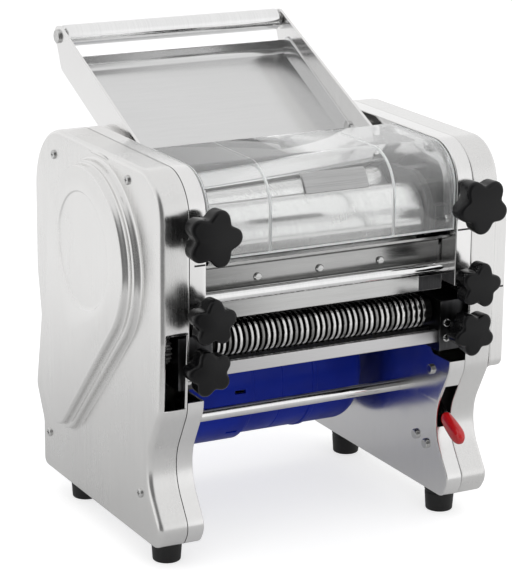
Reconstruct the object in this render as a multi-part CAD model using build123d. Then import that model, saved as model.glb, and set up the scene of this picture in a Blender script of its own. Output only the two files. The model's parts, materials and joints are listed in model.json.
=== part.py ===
from build123d import *
from math import acos, atan2, cos, degrees, floor, hypot, pi, radians, sin, tan
import os

os.makedirs("parts", exist_ok=True)

# Electric pasta maker with a roller pair, a noodle cutter and a dough tray.
# Millimetres. X runs across the machine, Y to the back and Z up. The origin is on the
# table, at the middle of the machine's overall box.

# ---- shared allowances ----
overrun = 5.0                # how far a cutting shape runs past the face it cuts
running_clearance = 0.05     # radial, shaft in bore
soft_clearance = 0.3         # between pieces that pass close by each other
screw_clearance = 0.2        # radial, screw in its hole
stud_clearance = 0.4         # radial, knob stud or foot bolt in sheet metal
thread_spare = 1.0           # how much deeper a tapped hole is than its screw

# ---- widths, from the middle outwards ----
inner_gap = 262.0            # clear width between the two inner panels
inner_shell_width = 16.5     # each inner shell, from its panel to the seam
outer_cover_width = 29.5     # each outer cover, from the seam to its flat face
bulge_height = 15.5          # how far the belt bulge and the side box stand out
panel = 2.0                  # wall of the inner shells
sheet = 1.5                  # wall of the outer covers and of the bent sheet pieces
panel_edge_radius = 1.2

# ---- side outline of both housings ----
front_y = -157.5
rear_y = 126.5
top_z = 377.0
bottom_z = 25.0
top_front_radius = 42.0
top_rear_radius = 66.0
neck_y = -131.0              # the narrow place of the front edge
neck_z = 121.0
shoulder_y = -151.5
shoulder_z = 152.0
front_straight_z = 225.0     # the front edge is upright above this height
toe_y = -150.0
heel_y = 115.0
heel_z = 72.0
rear_hip_y = 132.5
rear_hip_z = 106.0
rear_waist_y = 118.0
rear_waist_z = 181.0
rear_straight_z = 228.0
face_edge_radius = 5.0
toe_radius = 7.0
neck_radius = 10.0
shoulder_radius = 12.0
straight_blend_radius = 60.0 # where the upright edges start
waist_radius = 25.0
hip_radius = 16.0
heel_bend_radius = 12.0
heel_radius = 9.0

# ---- belt bulge on the left cover ----
bulge_y = -27.0
bulge_z = 279.0
bulge_radius = 91.0
bulge_small_radius = 33.0
bulge_ledge = 3.0            # width of the flat step half way up the bulge
bulge_draft = 24.0           # degrees that the bulge's wall leans in
bulge_disc_radius = 53.0
bulge_disc_height = 1.2
bulge_disc_chamfer = 1.0

# ---- side box on the right cover ----
box_front_y = -152.0
box_rear_y = 60.0
box_bottom_z = 152.0
box_top_z = 305.0
box_edge_radius = 8.0
box_face_radius = 4.0
box_seat_width = 6.0         # the cover's ledge behind the box's walls

# ---- recesses in the front of the housings ----
recess_bottom_z = 165.0
recess_top_z = 242.0
recess_rear_y = -118.0
recess_radius = 8.0
block_slot_gap = 1.5         # round the cutter's end blocks
window_inner = 3.0           # left cover's front window, from the seam
window_outer = 23.5
window_bottom_z = 160.0
window_top_z = 231.0
window_depth = 8.0

ledge_y = -121.0             # block under the recess that steadies the cutter unit
ledge_z = 149.0
ledge_block_half = 8.0
ledge_block_thickness = 8.0

# ---- feet ----
foot_x = 149.3
foot_front_y = -112.8
foot_rear_y = 73.2
foot_bottom_radius = 13.2
foot_top_radius = 15.0
foot_plate_thickness = 4.5
foot_bolt_radius = 4.0
foot_edge_radius = 1.5
foot_bore_end_z = 8.0
foot_bolt_end_z = 10.0
foot_plate_half_depth = 14.0
foot_plate_gap = 1.0         # from the inner panel
foot_plate_margin = 6.0      # from the outer cover's face
foot_head_radius = 6.5
foot_head_height = 5.0

# ---- dough rollers ----
roller_z = 298.0
rear_roller_y = -26.0
roller_radius = 32.4
roller_half_length = 111.0
roller_journal_radius = 10.0
roller_gear_module = 2.0
roller_gear_teeth = 33
gap_travel = 2.5             # how far the front roller backs away
roller_chamfer = 1.0
journal_end = 2.0            # how far a journal runs past its gear or pulley
journal_hole_margin = 2.0    # round the journals, in the inner panels
cheek_hole_margin = 0.5      # round the journals, in the cheeks

# ---- roller bearings ----
bearing_radius = 18.0
bearing_width = 10.0
bearing_block_width = 12.0
bearing_block_half_depth = 21.0
rear_block_half_height = 24.0
front_block_bottom_z = 275.0
front_block_top_z = 339.0
guide_rail_height = 6.0
guide_rail_width = 10.0
guide_rail_overhang = 8.0    # past the sliding block, at each end
bearing_floor = 1.0          # of the block, behind the bearing
bearing_shoulder = 3.0       # how far that floor reaches in over the bearing

# ---- cutter unit ----
cutter_y = -127.0
cutter_z = 213.0
cutter_ring_radius = 16.4
cutter_core_radius = 13.2
cutter_ring_pitch = 5.75
cutter_ring_width = 2.6
cutter_half_length = 118.0
cutter_journal_radius = 6.0
cutter_shaft_end = 1.0       # past its gears
cutter_gear_module = 1.5
cutter_gear_teeth = 20
cutter_drive_teeth = 16
idler_teeth = 31
block_inner_x = 121.0
block_outer_x = 155.0
block_front_y = -150.0
block_rear_y = -76.0
block_bottom_z = 176.0
block_top_z = 226.0
cutter_bar_bottom_z = 184.0
cutter_bar_top_z = 196.0
cutter_bar_front_y = -146.0
cutter_bar_rear_y = -140.0
comb_depth = 7.0
comb_clearance = 0.4
comb_ring_gap = 1.0          # under the rings
comb_bar_height = 5.0
cutter_plain_end = 4.0       # without rings, at each end of a cutting roller
cutter_bar_chamfer = 0.6
block_edge_radius = 1.5
block_bore_depth = 16.0      # for the lower knobs' studs
block_outer_screw_inset = 9.5
block_inner_screw_inset = 7.0
block_outer_screw_rise = 9.0
block_inner_screw_rises = (13.0, 28.0)

# ---- gears ----
gear_width = 8.0
pair_gear_x = 147.0          # inner face of the two gears that join the rollers
train_gear_x = 158.0         # inner face of the gears that drive the cutter
pressure_angle = 20.0
addendum = 0.9               # in modules
dedendum = 1.25
backlash = 0.16
gear_hub_wall = 9.0
idler_shaft_radius = 6.0
idler_shoulder_radius = 9.0
idler_flange_radius = 12.0
idler_flange_thickness = 5.0
idler_washer_thickness = 2.0

# ---- belt drive ----
motor_y = 44.0
motor_z = 119.0
big_pulley_radius = 58.0
small_pulley_radius = 20.0
pulley_flange = 5.0
pulley_flange_width = 2.0
belt_width = 12.0
belt_thickness = 4.0
belt_x = -165.5              # outer edge of the belt
belt_side_gap = 0.5
pulley_hole_count = 6
pulley_hole_circle = 34.0
pulley_hole_radius = 10.0

# ---- motor ----
motor_radius = 63.0
motor_cover_radius = 67.0
motor_flange_radius = 52.0
motor_neck_radius = 38.0
motor_flange_thickness = 6.0
motor_neck_length = 24.0
motor_cover_length = 87.0
motor_body_length = 76.0
motor_bell_length = 56.0
motor_shaft_radius = 7.0
motor_wall = 4.0
motor_slot_count = 16
motor_slot_width = 4.0
motor_slot_length = 12.0
motor_bolt_circle = 45.0
motor_bolt_count = 4
motor_bolt_tip = 0.5         # short of the flange's far face
motor_hole_margin = 8.0      # round the shaft, in the panel
motor_bore_margin = 6.0      # round the shaft, in the flange
motor_seal_length = 8.0
motor_cover_margin = 4.0     # round the shaft, in the fan cover
motor_cover_edge_radius = 10.0
motor_bell_edge_radius = 16.0
motor_bell_inner_radius = 12.0
motor_boss_length = 14.0
motor_boss_wall = 7.0
stator_inset = 8.0           # from each end of the casing
stator_depth = 20.0
air_gap = 1.0
rotor_end_gap = 2.0
fan_start = 24.0             # from the casing's end, along the shaft
fan_hub_length = 16.0
fan_hub_radius = 14.0
fan_blade_count = 8
fan_blade_middle = 31.0      # from the shaft's axis
fan_blade_length = 38.0
fan_blade_width = 14.0
fan_blade_thickness = 2.0
fan_disc_radius = 48.0

# ---- rods between the housings ----
tie_rod_radius = 6.0
lower_rod_y = -57.5
lower_rod_z = 114.6
rear_low_rod_y = 84.0
rear_low_rod_z = 52.0
rear_high_rod_y = 100.0
rear_high_rod_z = 335.0
front_bar_radius = 5.5
front_bar_y = -141.5
front_bar_z = 257.5
rod_bolt_radius = 3.0
rod_bolt_length = 16.0
bolt_head_radius = 4.5
bolt_head_height = 3.0
bolt_head_chamfer = 0.8
bolt_socket_radius = 2.25
bolt_socket_depth = 1.8
bar_chamfer = 0.6

# ---- deck under the guard, scrapers and guide plate ----
deck_face_y = -130.0
deck_bottom_z = 250.0
deck_bend_z = 281.0
deck_lip_y = -149.0
deck_lip_z = 288.0
deck_thickness = 2.0
deck_bend_radius = 1.0
deck_screw_pitch = 65.0
deck_screw_z = 268.0
face_screw_length = 8.0      # of the screws in the deck and in the end blocks
face_screw_head_radius = 4.0
face_screw_head_height = 2.2
face_screw_dome_radius = 1.4
face_screw_slot_width = 1.0
face_screw_slot_depth = 1.0
scraper_bar_depth = 8.0
scraper_bar_bottom_z = 252.0
scraper_bar_top_z = 275.0
scraper_blade_top_z = 263.5
scraper_tip_gap = 6.0        # from the roller's lowest line to the blade's tip, along Y
scraper_bend_radius = 1.5
scraper_bevel = 4.0
guide_half_length = 105.0
guide_top_y = -135.0
guide_top_z = 250.0
guide_bottom_y = -125.0
guide_bottom_z = 232.5
guide_bracket_inset = 1.0
guide_bracket_depth = 30.0

# ---- cheeks beside the rollers ----
cheek_inner_x = 112.0
cheek_thickness = 6.0
cheek_front_radius = 42.0
cheek_rear_radius = 36.0
cheek_deck_gap = 12.0        # behind the deck's face, where the cheek is cut away
cheek_lip_gap = 6.0          # above the deck's bend, where the cut ends
cheek_block_half_depth = 5.0
cheek_block_half_height = 6.0

# ---- clear guard ----
guard_side_gap = 2.0         # between the guard and each panel
guard_thickness = 3.0
guard_inset = 1.0            # below the housing's outline
guard_lower_z = 297.0
guard_rear_y = -40.0
guard_rib_depth = 12.0
guard_flange_depth = 20.0
guard_screw_radius = 2.0
guard_screw_low_y = 13.0     # from the housing's front edge
guard_screw_low_z = 8.0      # above the guard's lower edge
guard_screw_high_y = 58.0
guard_screw_high_z = 15.0    # below the housing's top
guard_screw_reach = 3.0      # past the panel
guard_spacer_radius = 5.0

# ---- nameplate on the guard ----
plate_x = 7.0
plate_half_length = 36.0
plate_start_angle = 14.0     # degrees up the guard's front curve
plate_end_angle = 48.0
plate_thickness = 1.2

# ---- dough tray ----
tray_roller_y = 184.0
tray_roller_z = 444.0
tray_roller_radius = 11.0
tray_roller_end_gap = 3.0    # between the roller and each arm
tray_axle_radius = 4.0
arm_side_gap = 6.0           # between each arm and its panel
arm_thickness = 3.0
arm_end_radius = 10.5
arm_front_drop = 22.4        # of the arm's middle line below the housing's top
arm_width = 37.7
arm_front_y = -14.0
pan_lip_set_back = 12.0      # in front of the roller's axis
pan_lip_drop = 31.0          # below the roller's axis
pan_front_gap = 20.0         # behind the arm's front end
pan_front_drop = 46.0        # below the housing's top
pan_side_height = 20.0
pan_lip_height = 12.5        # of the upturned rear lip
pan_lip_lean = 4.5           # of its upper edge towards the front
pan_front_corner = 4.0
pan_rear_corner = 8.0
arm_front_corner = 6.0
arm_low_corner = 12.0
arm_step = 18.5              # from the roller to where the arm reaches its full width
arm_step_corner = 10.0
arm_bolt_inset = 14.0        # of the first bolt, from the arm's front end
arm_bolt_pitch = 30.0
arm_bolt_edge = 12.0         # from the arm's lower edge
arm_bolt_head_radius = 6.0
arm_bolt_reach = 4.0         # past the panel
pan_bolt_hole = 6.5
roller_tube_wall = 1.5
roller_cap_length = 6.0
axle_head_radius = 7.0
axle_head_height = 3.0
axle_head_dome = 1.5

# ---- knobs ----
knob_x = 139.0
knob_reach = 37.5            # from the housing's front to the knob's face
knob_thickness = 20.0
knob_neck_radius = 11.0
knob_stud_radius = 4.0
top_knob_radius = 27.0
low_knob_radius = 22.0
knob_lobes = 5
knob_lobe_depth = 0.15       # share of the radius that the lobes rise and fall
top_knob_z = 325.6
middle_knob_z = 249.0
lower_knob_z = 200.5
lower_knob_set_back = 8.0    # the lower knobs sit this much further back
knob_edge_radius = 2.5
knob_neck_length = 11.0
knob_neck_gap = 2.0          # between the neck and the housing's front
top_stud_end_gap = 4.0       # short of the front roller's axis
middle_stud_length = 12.0    # in its anchor block
lower_stud_length = 14.0     # in the end block
anchor_depth = 20.0
anchor_half_height = 10.0
anchor_bore_depth = 14.0

# ---- switch lever ----
lever_x = 139.5
lever_pivot_y = -110.0
lever_pivot_z = 119.0
lever_thickness = 3.0
lever_tip_y = -160.0
lever_tip_z = 91.0
grip_start = 20.0            # from the pivot along the lever
grip_width = 10.0
grip_height = 13.0
lever_pin_radius = 3.0
slot_bottom_z = 92.0
slot_top_z = 137.0
slot_depth = 6.0
switch_foot_y = -96.0
switch_foot_z = 75.0
switch_gap = 2.0             # between the lever and the switch
switch_width = 22.0
switch_front = 9.0           # in front of the pivot
switch_rear = 17.0
switch_half_height = 20.0
switch_foot_half_depth = 11.0
switch_foot_half_height = 7.0
switch_stem_half_depth = 9.0
switch_foot_bore = 14.0
lever_eye_radius = 8.0
lever_half_height = 4.0
lever_tongue = 14.0          # in the grip's pocket
lever_pin_reach = 3.0
grip_edge_radius = 4.9
grip_face_radius = 2.0

# ---- cable gland, cover posts, back and shield ----
gland_z = 50.0
gland_x = 162.0
gland_radius = 9.0
gland_length = 12.0
gland_bore_radius = 4.0
gland_thread_radius = 6.75
gland_inner_length = 8.0
gland_lip = 3.0
post_radius = 5.0
screw_head_radius = 4.5
screw_head_height = 2.2
screw_shank_radius = 2.0
screw_dome_radius = 1.5
inner_head_height = 3.0      # of the domed heads inside the machine
inner_head_radius = 5.0
inner_head_dome = 1.4
screw_cross_width = 1.0
screw_cross_depth = 1.3
cover_screw_length = 10.0
screw_top_front_y = 66.5     # from the housing's front edge
screw_top_front_z = 15.0     # below its top
screw_top_rear_y = 49.5      # from its rear edge
screw_top_rear_z = 26.0
screw_heel_y = 18.0          # from the heel
screw_heel_z = 39.0          # above the housing's bottom
screw_toe_y = 35.0           # from the toe
screw_toe_z = 46.0
anchor_bolt_length = 7.0
back_plate_y = 112.0
back_plate_bottom_z = 200.0
back_plate_top_z = 350.0
shield_front_y = -72.0
shield_front_z = 190.0
shield_rear_z = 200.0
shield_lip = 12.0
back_flange_depth = 14.0
back_flange_top_z = 320.0

# ---- worked-out places ----
panel_x = inner_gap / 2
seam_x = panel_x + inner_shell_width
face_x = seam_x + outer_cover_width
side_x = face_x + bulge_height
cavity_x = panel_x + panel
front_roller_y = rear_roller_y - roller_gear_module * roller_gear_teeth
rear_cutter_y = cutter_y + cutter_gear_module * cutter_gear_teeth
knob_face_y = front_y - knob_reach
nip_y = (front_roller_y + rear_roller_y) / 2
motor_cover_x = -panel_x + motor_flange_thickness + motor_neck_length
motor_body_x = motor_cover_x + motor_cover_length
motor_bell_x = motor_body_x + motor_body_length
motor_end_x = motor_bell_x + motor_bell_length
pulley_inner_x = belt_x + belt_width + belt_side_gap
pulley_outer_x = belt_x - belt_side_gap
pulley_end_x = pulley_outer_x - pulley_flange_width
guard_half_width = panel_x - guard_side_gap
guard_rib_x = guard_half_width / 2
arm_outer_x = panel_x - arm_side_gap
tray_roller_half_length = arm_outer_x - arm_thickness - tray_roller_end_gap
arm_rise = tray_roller_z - (top_z - arm_front_drop)
arm_slope = atan2(arm_rise, tray_roller_y - arm_front_y)
pan_lip_y = tray_roller_y - pan_lip_set_back
pan_lip_z = tray_roller_z - pan_lip_drop
pan_front_y = arm_front_y + pan_front_gap
pan_front_z = top_z - pan_front_drop
cover_screw_places = [
    (front_y + screw_top_front_y, top_z - screw_top_front_z),
    (rear_y - screw_top_rear_y, top_z - screw_top_rear_z),
    (heel_y - screw_heel_y, bottom_z + screw_heel_z),
    (toe_y + screw_toe_y, bottom_z + screw_toe_z),
]


# ---- small helpers ----
def side_plane(x):
    """The plane across the machine at x, with local axes Y and Z."""
    return Plane(origin=(x, 0, 0), x_dir=(0, 1, 0), z_dir=(1, 0, 0))


def slab(face, x_from, x_to):
    """A side-view face made solid from x_from to the larger x_to."""
    return extrude(side_plane(x_from) * face, amount=x_to - x_from)


def rod(x_from, x_to, y, z, radius):
    """A round bar along X."""
    return slab(Pos(y, z) * Circle(radius), x_from, x_to)


def tube(x_from, x_to, y, z, radius, bore):
    """A round tube along X."""
    return slab(Pos(y, z) * (Circle(radius) - Circle(bore)), x_from, x_to)


def block(x_from, x_to, y_from, y_to, z_from, z_to):
    """A box given by its faces."""
    size = (x_to - x_from, y_to - y_from, z_to - z_from)
    middle = ((x_from + x_to) / 2, (y_from + y_to) / 2, (z_from + z_to) / 2)
    return Pos(*middle) * Box(*size)


def pin_along_y(x, z, y_from, y_to, radius):
    """A round pin along Y."""
    middle = Pos(x, (y_from + y_to) / 2, z)
    return middle * Rot(90, 0, 0) * Cylinder(radius, y_to - y_from)


def outline(corners):
    """A closed side-view face from (y, z, corner radius) triples."""
    points = [(y, z) for y, z, radius in corners]
    radii = [radius for y, z, radius in corners]
    return make_face(FilletPolyline(*points, radius=radii, close=True).edges())


def mirrored(shape):
    """The same piece on the other side of the machine."""
    return mirror(shape, about=Plane.YZ)


def group(*shapes):
    """Separate solids kept together in one node."""
    solids = [solid for shape in shapes for solid in shape.solids()]
    return Compound(solids)


def both_sides(shape):
    """A piece and its mirror image as two solids."""
    return group(shape, mirrored(shape))


def two_circle_hull(y_a, z_a, radius_a, y_b, z_b, radius_b):
    """The outline of a belt round two circles, as a side-view face."""
    reach = hypot(y_b - y_a, z_b - z_a)
    heading = atan2(z_b - z_a, y_b - y_a)
    lean = acos((radius_a - radius_b) / reach)
    turns = (heading + lean, heading - lean)
    left_a, right_a = [(y_a + radius_a * cos(t), z_a + radius_a * sin(t)) for t in turns]
    left_b, right_b = [(y_b + radius_b * cos(t), z_b + radius_b * sin(t)) for t in turns]
    far_a = (y_a - radius_a * cos(heading), z_a - radius_a * sin(heading))
    far_b = (y_b + radius_b * cos(heading), z_b + radius_b * sin(heading))
    edges = [
        ThreePointArc(left_a, far_a, right_a),
        Line(right_a, right_b),
        ThreePointArc(right_b, far_b, left_b),
        Line(left_b, left_a),
    ]
    return make_face(edges)


# ---- gears ----
def involute(angle):
    """The involute function of a pressure angle."""
    return tan(angle) - angle


def gear_face(module, teeth, phase):
    """Involute gear outline about the origin with a tooth centred at phase."""
    pitch_radius = module * teeth / 2
    base_radius = pitch_radius * cos(radians(pressure_angle))
    root = pitch_radius - dedendum * module
    tip = pitch_radius + addendum * module
    half_tooth = pi / (2 * teeth) - backlash / (2 * pitch_radius)
    rooted = max(root, base_radius)
    heights = [rooted + (tip - rooted) * step / 3 for step in range(4)]
    flank = [(root, None)] + [(radius, base_radius / radius) for radius in heights]
    points = []
    for tooth in range(teeth):
        middle = phase + tooth * 2 * pi / teeth
        side = []
        for radius, ratio in flank:
            roll = 0.0 if ratio is None else involute(acos(min(1.0, ratio)))
            half = half_tooth + involute(radians(pressure_angle)) - roll
            side.append((radius, half))
        turns = [(radius, middle - half) for radius, half in side]
        turns += [(radius, middle + half) for radius, half in reversed(side)]
        points += [(radius * cos(turn), radius * sin(turn)) for radius, turn in turns]
    return make_face(Polyline(*points, close=True).edges())


def meshed_phase(y_a, z_a, teeth_a, phase_a, y_b, z_b, teeth_b):
    """The phase that puts gear b's tooth gap on gear a's tooth."""
    heading = atan2(z_b - z_a, y_b - y_a)
    ahead = (heading - phase_a) * teeth_a / (2 * pi)
    return heading + pi - (0.5 - ahead) * 2 * pi / teeth_b


def gear(x, y, z, module, teeth, phase, bore):
    """A spur gear on a shaft along X, its inner face at x."""
    face = Pos(y, z) * (gear_face(module, teeth, phase) - Circle(bore))
    return slab(face, x, x + gear_width)


def idler_centre():
    """Where the idler meshes with both the roller gear and the cutter gear."""
    from_roller = roller_gear_module * (roller_gear_teeth + idler_teeth) / 2
    from_cutter = roller_gear_module * (cutter_drive_teeth + idler_teeth) / 2
    across = rear_cutter_y - rear_roller_y
    down = cutter_z - roller_z
    reach = hypot(across, down)
    along = (from_roller**2 - from_cutter**2 + reach**2) / (2 * reach)
    aside = max(0.0, from_roller**2 - along**2) ** 0.5
    y = rear_roller_y + (across * along - down * aside) / reach
    z = roller_z + (down * along + across * aside) / reach
    return y, z


idler_y, idler_z = idler_centre()


# ---- housings ----
def housing_corners():
    """The side outline of the housings, from the toe round to the heel."""
    return [
        (toe_y, bottom_z, toe_radius),
        (neck_y, neck_z, neck_radius),
        (shoulder_y, shoulder_z, shoulder_radius),
        (front_y, front_straight_z, straight_blend_radius),
        (front_y, top_z, top_front_radius),
        (rear_y, top_z, top_rear_radius),
        (rear_y, rear_straight_z, straight_blend_radius),
        (rear_waist_y, rear_waist_z, waist_radius),
        (rear_hip_y, rear_hip_z, hip_radius),
        (heel_y, heel_z, heel_bend_radius),
        (heel_y, bottom_z, heel_radius),
    ]


def housing_face(inset=0.0):
    """The side outline, moved inwards by inset."""
    face = outline(housing_corners())
    if inset == 0.0:
        return face
    return offset(face, amount=-inset, kind=Kind.INTERSECTION)


def foot_holes():
    """Bolt holes for the two feet of the right side, through the floors."""
    drill = Cylinder(foot_bolt_radius + stud_clearance, 2 * overrun)
    places = [(foot_x, foot_front_y, bottom_z), (foot_x, foot_rear_y, bottom_z)]
    return [Pos(*place) * drill for place in places]


def outer_cover():
    """The right outer cover: a dished sheet shell, open at the seam."""
    shell = slab(housing_face(), seam_x, face_x)
    shell = fillet(shell.faces().sort_by(Axis.X)[-1].edges(), face_edge_radius)
    shell -= slab(housing_face(sheet), seam_x, face_x - sheet)
    for y, z in cover_screw_places:
        shell -= rod(face_x - overrun, face_x + overrun, y, z, screw_shank_radius + screw_clearance)
    for drill in foot_holes():
        shell -= drill
    return shell


def bulge(radius, small_radius, x_from, rise):
    """One drafted step of the bulge, rising from x_from to the left."""
    face = two_circle_hull(bulge_y, bulge_z, radius, motor_y, motor_z, small_radius)
    base = side_plane(x_from) * face
    return extrude(base, amount=rise, dir=(-1, 0, 0), taper=bulge_draft)


def bulge_body(inset):
    """The two-step belt bulge, with its walls moved inwards by inset."""
    step = (bulge_height - bulge_disc_height) / 2
    draw_in = step * tan(radians(bulge_draft)) + bulge_ledge
    big = bulge_radius - inset
    small = bulge_small_radius - inset
    base_x = -face_x + inset
    lower = bulge(big, small, base_x, step)
    upper = bulge(big - draw_in, small - draw_in, base_x - step, step)
    return lower + upper


def left_outer_cover():
    """The left outer cover with the belt bulge and its front window."""
    cover = mirrored(outer_cover()) + bulge_body(0.0)
    cover = cover - bulge_body(sheet)
    disc = rod(-side_x, -side_x + bulge_disc_height + sheet / 2, bulge_y, bulge_z, bulge_disc_radius)
    disc = chamfer(disc.faces().sort_by(Axis.X)[0].edges(), bulge_disc_chamfer)
    cover = cover + disc
    window_x = (-seam_x - window_outer, -seam_x - window_inner)
    window_y = (front_y - overrun, front_y + window_depth)
    cover -= block(*window_x, *window_y, window_bottom_z, window_top_z)
    return cover


def right_outer_cover():
    """The right outer cover, with an opening behind the side box and the gland hole."""
    cover = outer_cover()
    inset = box_seat_width
    cover -= block(
        face_x - overrun,
        face_x + overrun,
        box_front_y + inset,
        box_rear_y - inset,
        box_bottom_z + inset,
        box_top_z - inset,
    )
    cover -= pin_along_y(gland_x, gland_z, heel_y - overrun, heel_y + overrun, gland_thread_radius)
    return cover


def right_side_box():
    """The raised box on the right cover, open towards the machine."""
    box = block(face_x, side_x, box_front_y, box_rear_y, box_bottom_z, box_top_z)
    upright = box.edges().filter_by(Axis.X)
    box = fillet(upright, box_edge_radius)
    box = fillet(box.faces().sort_by(Axis.X)[-1].edges(), box_face_radius)
    hollow = block(
        face_x - sheet,
        side_x - sheet,
        box_front_y + sheet,
        box_rear_y - sheet,
        box_bottom_z + sheet,
        box_top_z - sheet,
    )
    hollow = fillet(hollow.edges().filter_by(Axis.X), box_edge_radius - sheet)
    return box - hollow


def inner_shell():
    """The right inner shell: a panel with a rim that reaches out to the seam."""
    shell = slab(housing_face(), panel_x, seam_x)
    shell -= slab(housing_face(panel), cavity_x, seam_x + overrun)
    shell = fillet(shell.faces().sort_by(Axis.X)[0].outer_wire().edges(), panel_edge_radius)
    recess = outline([
        (front_y - overrun, recess_bottom_z, 0.0),
        (recess_rear_y, recess_bottom_z, recess_radius),
        (recess_rear_y, recess_top_z, recess_radius),
        (front_y - overrun, recess_top_z, 0.0),
    ])
    shell -= slab(recess, panel_x - overrun, seam_x + overrun)
    shell -= block(
        panel_x - overrun,
        seam_x + overrun,
        front_y - overrun,
        block_rear_y + block_slot_gap,
        block_bottom_z - block_slot_gap,
        block_top_z + block_slot_gap,
    )
    for hole in panel_holes():
        shell -= hole
    for drill in foot_holes():
        shell -= drill
    for z in (top_knob_z, middle_knob_z):
        radius = knob_stud_radius + stud_clearance
        shell -= pin_along_y(knob_x, z, front_y - overrun, front_y + overrun, radius)
    return shell


def front_journal_slot(radius):
    """The slot that the front roller's journal travels in, as a side-view face."""
    open_y = front_roller_y - gap_travel
    return two_circle_hull(front_roller_y, roller_z, radius, open_y, roller_z, radius)


def panel_holes():
    """The holes that both inner panels share."""
    through = (panel_x - overrun, cavity_x + overrun)
    journal = roller_journal_radius + journal_hole_margin
    holes = [rod(*through, rear_roller_y, roller_z, journal)]
    holes.append(slab(front_journal_slot(journal), *through))
    for y, z in rod_places() + tray_bolt_places() + anchor_bolt_places():
        holes.append(rod(*through, y, z, rod_bolt_radius + screw_clearance))
    for y, z in guard_screw_places():
        holes.append(rod(*through, y, z, guard_screw_radius + screw_clearance))
    return holes


def left_inner_shell():
    """The left inner shell, with the motor shaft's hole."""
    shell = mirrored(inner_shell())
    through = (-cavity_x - overrun, -panel_x + overrun)
    shell -= rod(*through, motor_y, motor_z, motor_shaft_radius + motor_hole_margin)
    for y, z in motor_bolt_places():
        shell -= rod(*through, y, z, rod_bolt_radius + screw_clearance)
    return shell


def anchor_bolt_places():
    """Bolts from inside each panel: into the front low post and the ledge block."""
    return [cover_screw_places[-1], (ledge_y, ledge_z)]


def switch_bolt_places():
    """The bolt that holds the switch's foot to the right panel."""
    return [(switch_foot_y, switch_foot_z)]


def right_inner_shell():
    """The right inner shell, with the lever's slot and the switch bolts' holes."""
    shell = inner_shell()
    slot_y = (shoulder_y - overrun, neck_y + slot_depth)
    shell -= block(cavity_x, seam_x + overrun, *slot_y, slot_bottom_z, slot_top_z)
    for y, z in switch_bolt_places():
        shell -= rod(panel_x - overrun, cavity_x + overrun, y, z, rod_bolt_radius + screw_clearance)
    return shell


# ---- rods and their bolts ----
def rod_places():
    """Where the rods between the housings are bolted."""
    return [
        (lower_rod_y, lower_rod_z),
        (rear_low_rod_y, rear_low_rod_z),
        (rear_high_rod_y, rear_high_rod_z),
        (front_bar_y, front_bar_z),
    ]


def cross_rod(y, z, radius):
    """A rod between the panels with a tapped hole in each end."""
    bar = rod(-panel_x, panel_x, y, z, radius)
    bar = chamfer(bar.edges(), bar_chamfer)
    depth = rod_bolt_length - panel + thread_spare
    bore = rod(panel_x - depth, panel_x + overrun, y, z, rod_bolt_radius)
    return bar - bore - mirrored(bore)


def side_bolt(x, y, z, length):
    """A bolt along X, its head outside x and its shank towards the middle."""
    head = rod(x, x + bolt_head_height, y, z, bolt_head_radius)
    head = chamfer(head.faces().sort_by(Axis.X)[-1].edges(), bolt_head_chamfer)
    socket_face = Pos(y, z) * RegularPolygon(bolt_socket_radius, 6)
    top = x + bolt_head_height
    socket = slab(socket_face, top - bolt_socket_depth, top + overrun)
    return head - socket + rod(x - length, x, y, z, rod_bolt_radius)


def tie_rods():
    """The three plain rods: one low in front and two at the back."""
    places = rod_places()[:3]
    return group(*[cross_rod(y, z, tie_rod_radius) for y, z in places])


def rod_bolts():
    """The bolts in the ends of the four cross rods."""
    bolts = [side_bolt(cavity_x, y, z, rod_bolt_length) for y, z in rod_places()]
    return group(*[both_sides(bolt) for bolt in bolts])


def domed_head(x, y, z, height, radius):
    """A domed screw head that points inwards from its seat at x."""
    head = rod(x - height, x, y, z, radius)
    return fillet(head.faces().sort_by(Axis.X)[0].edges(), inner_head_dome)


# ---- covers' posts and screws ----
def cover_posts():
    """Posts from each panel to its outer cover, tapped for the cover screws."""
    posts = []
    for y, z in cover_screw_places:
        post = rod(cavity_x, face_x - sheet, y, z, post_radius)
        post -= rod(face_x - cover_screw_length - thread_spare, face_x, y, z, screw_shank_radius)
        if (y, z) in anchor_bolt_places():
            bore_end = cavity_x + anchor_bolt_length + thread_spare
            post -= rod(cavity_x - overrun, bore_end, y, z, rod_bolt_radius)
        posts.append(post)
    return group(*[both_sides(post) for post in posts])


def cover_screws():
    """Domed screws through the outer covers."""
    screws = []
    for y, z in cover_screw_places:
        head = rod(face_x, face_x + screw_head_height, y, z, screw_head_radius)
        head = fillet(head.faces().sort_by(Axis.X)[-1].edges(), screw_dome_radius)
        top = face_x + screw_head_height
        for turn in (0, 90):
            cross = Pos(y, z) * Rot(0, 0, turn) * Rectangle(screw_head_radius, screw_cross_width)
            head -= slab(cross, top - screw_cross_depth, top)
        shank = rod(face_x - cover_screw_length, face_x, y, z, screw_shank_radius)
        screws.append(head + shank)
    return group(*[both_sides(screw) for screw in screws])


# ---- feet ----
def foot_places():
    """The feet of the right side."""
    return [(foot_x, foot_front_y), (foot_x, foot_rear_y)]


def rubber_feet():
    """Four tapered rubber feet, bored for their bolts."""
    feet = []
    for x, y in foot_places():
        foot = Pos(x, y, bottom_z / 2) * Cone(foot_bottom_radius, foot_top_radius, bottom_z)
        foot = fillet(foot.edges().sort_by(Axis.Z)[0], foot_edge_radius)
        foot -= Pos(x, y, bottom_z) * Cylinder(foot_bolt_radius, 2 * (bottom_z - foot_bore_end_z))
        feet.append(foot)
    return group(*[both_sides(foot) for foot in feet])


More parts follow.
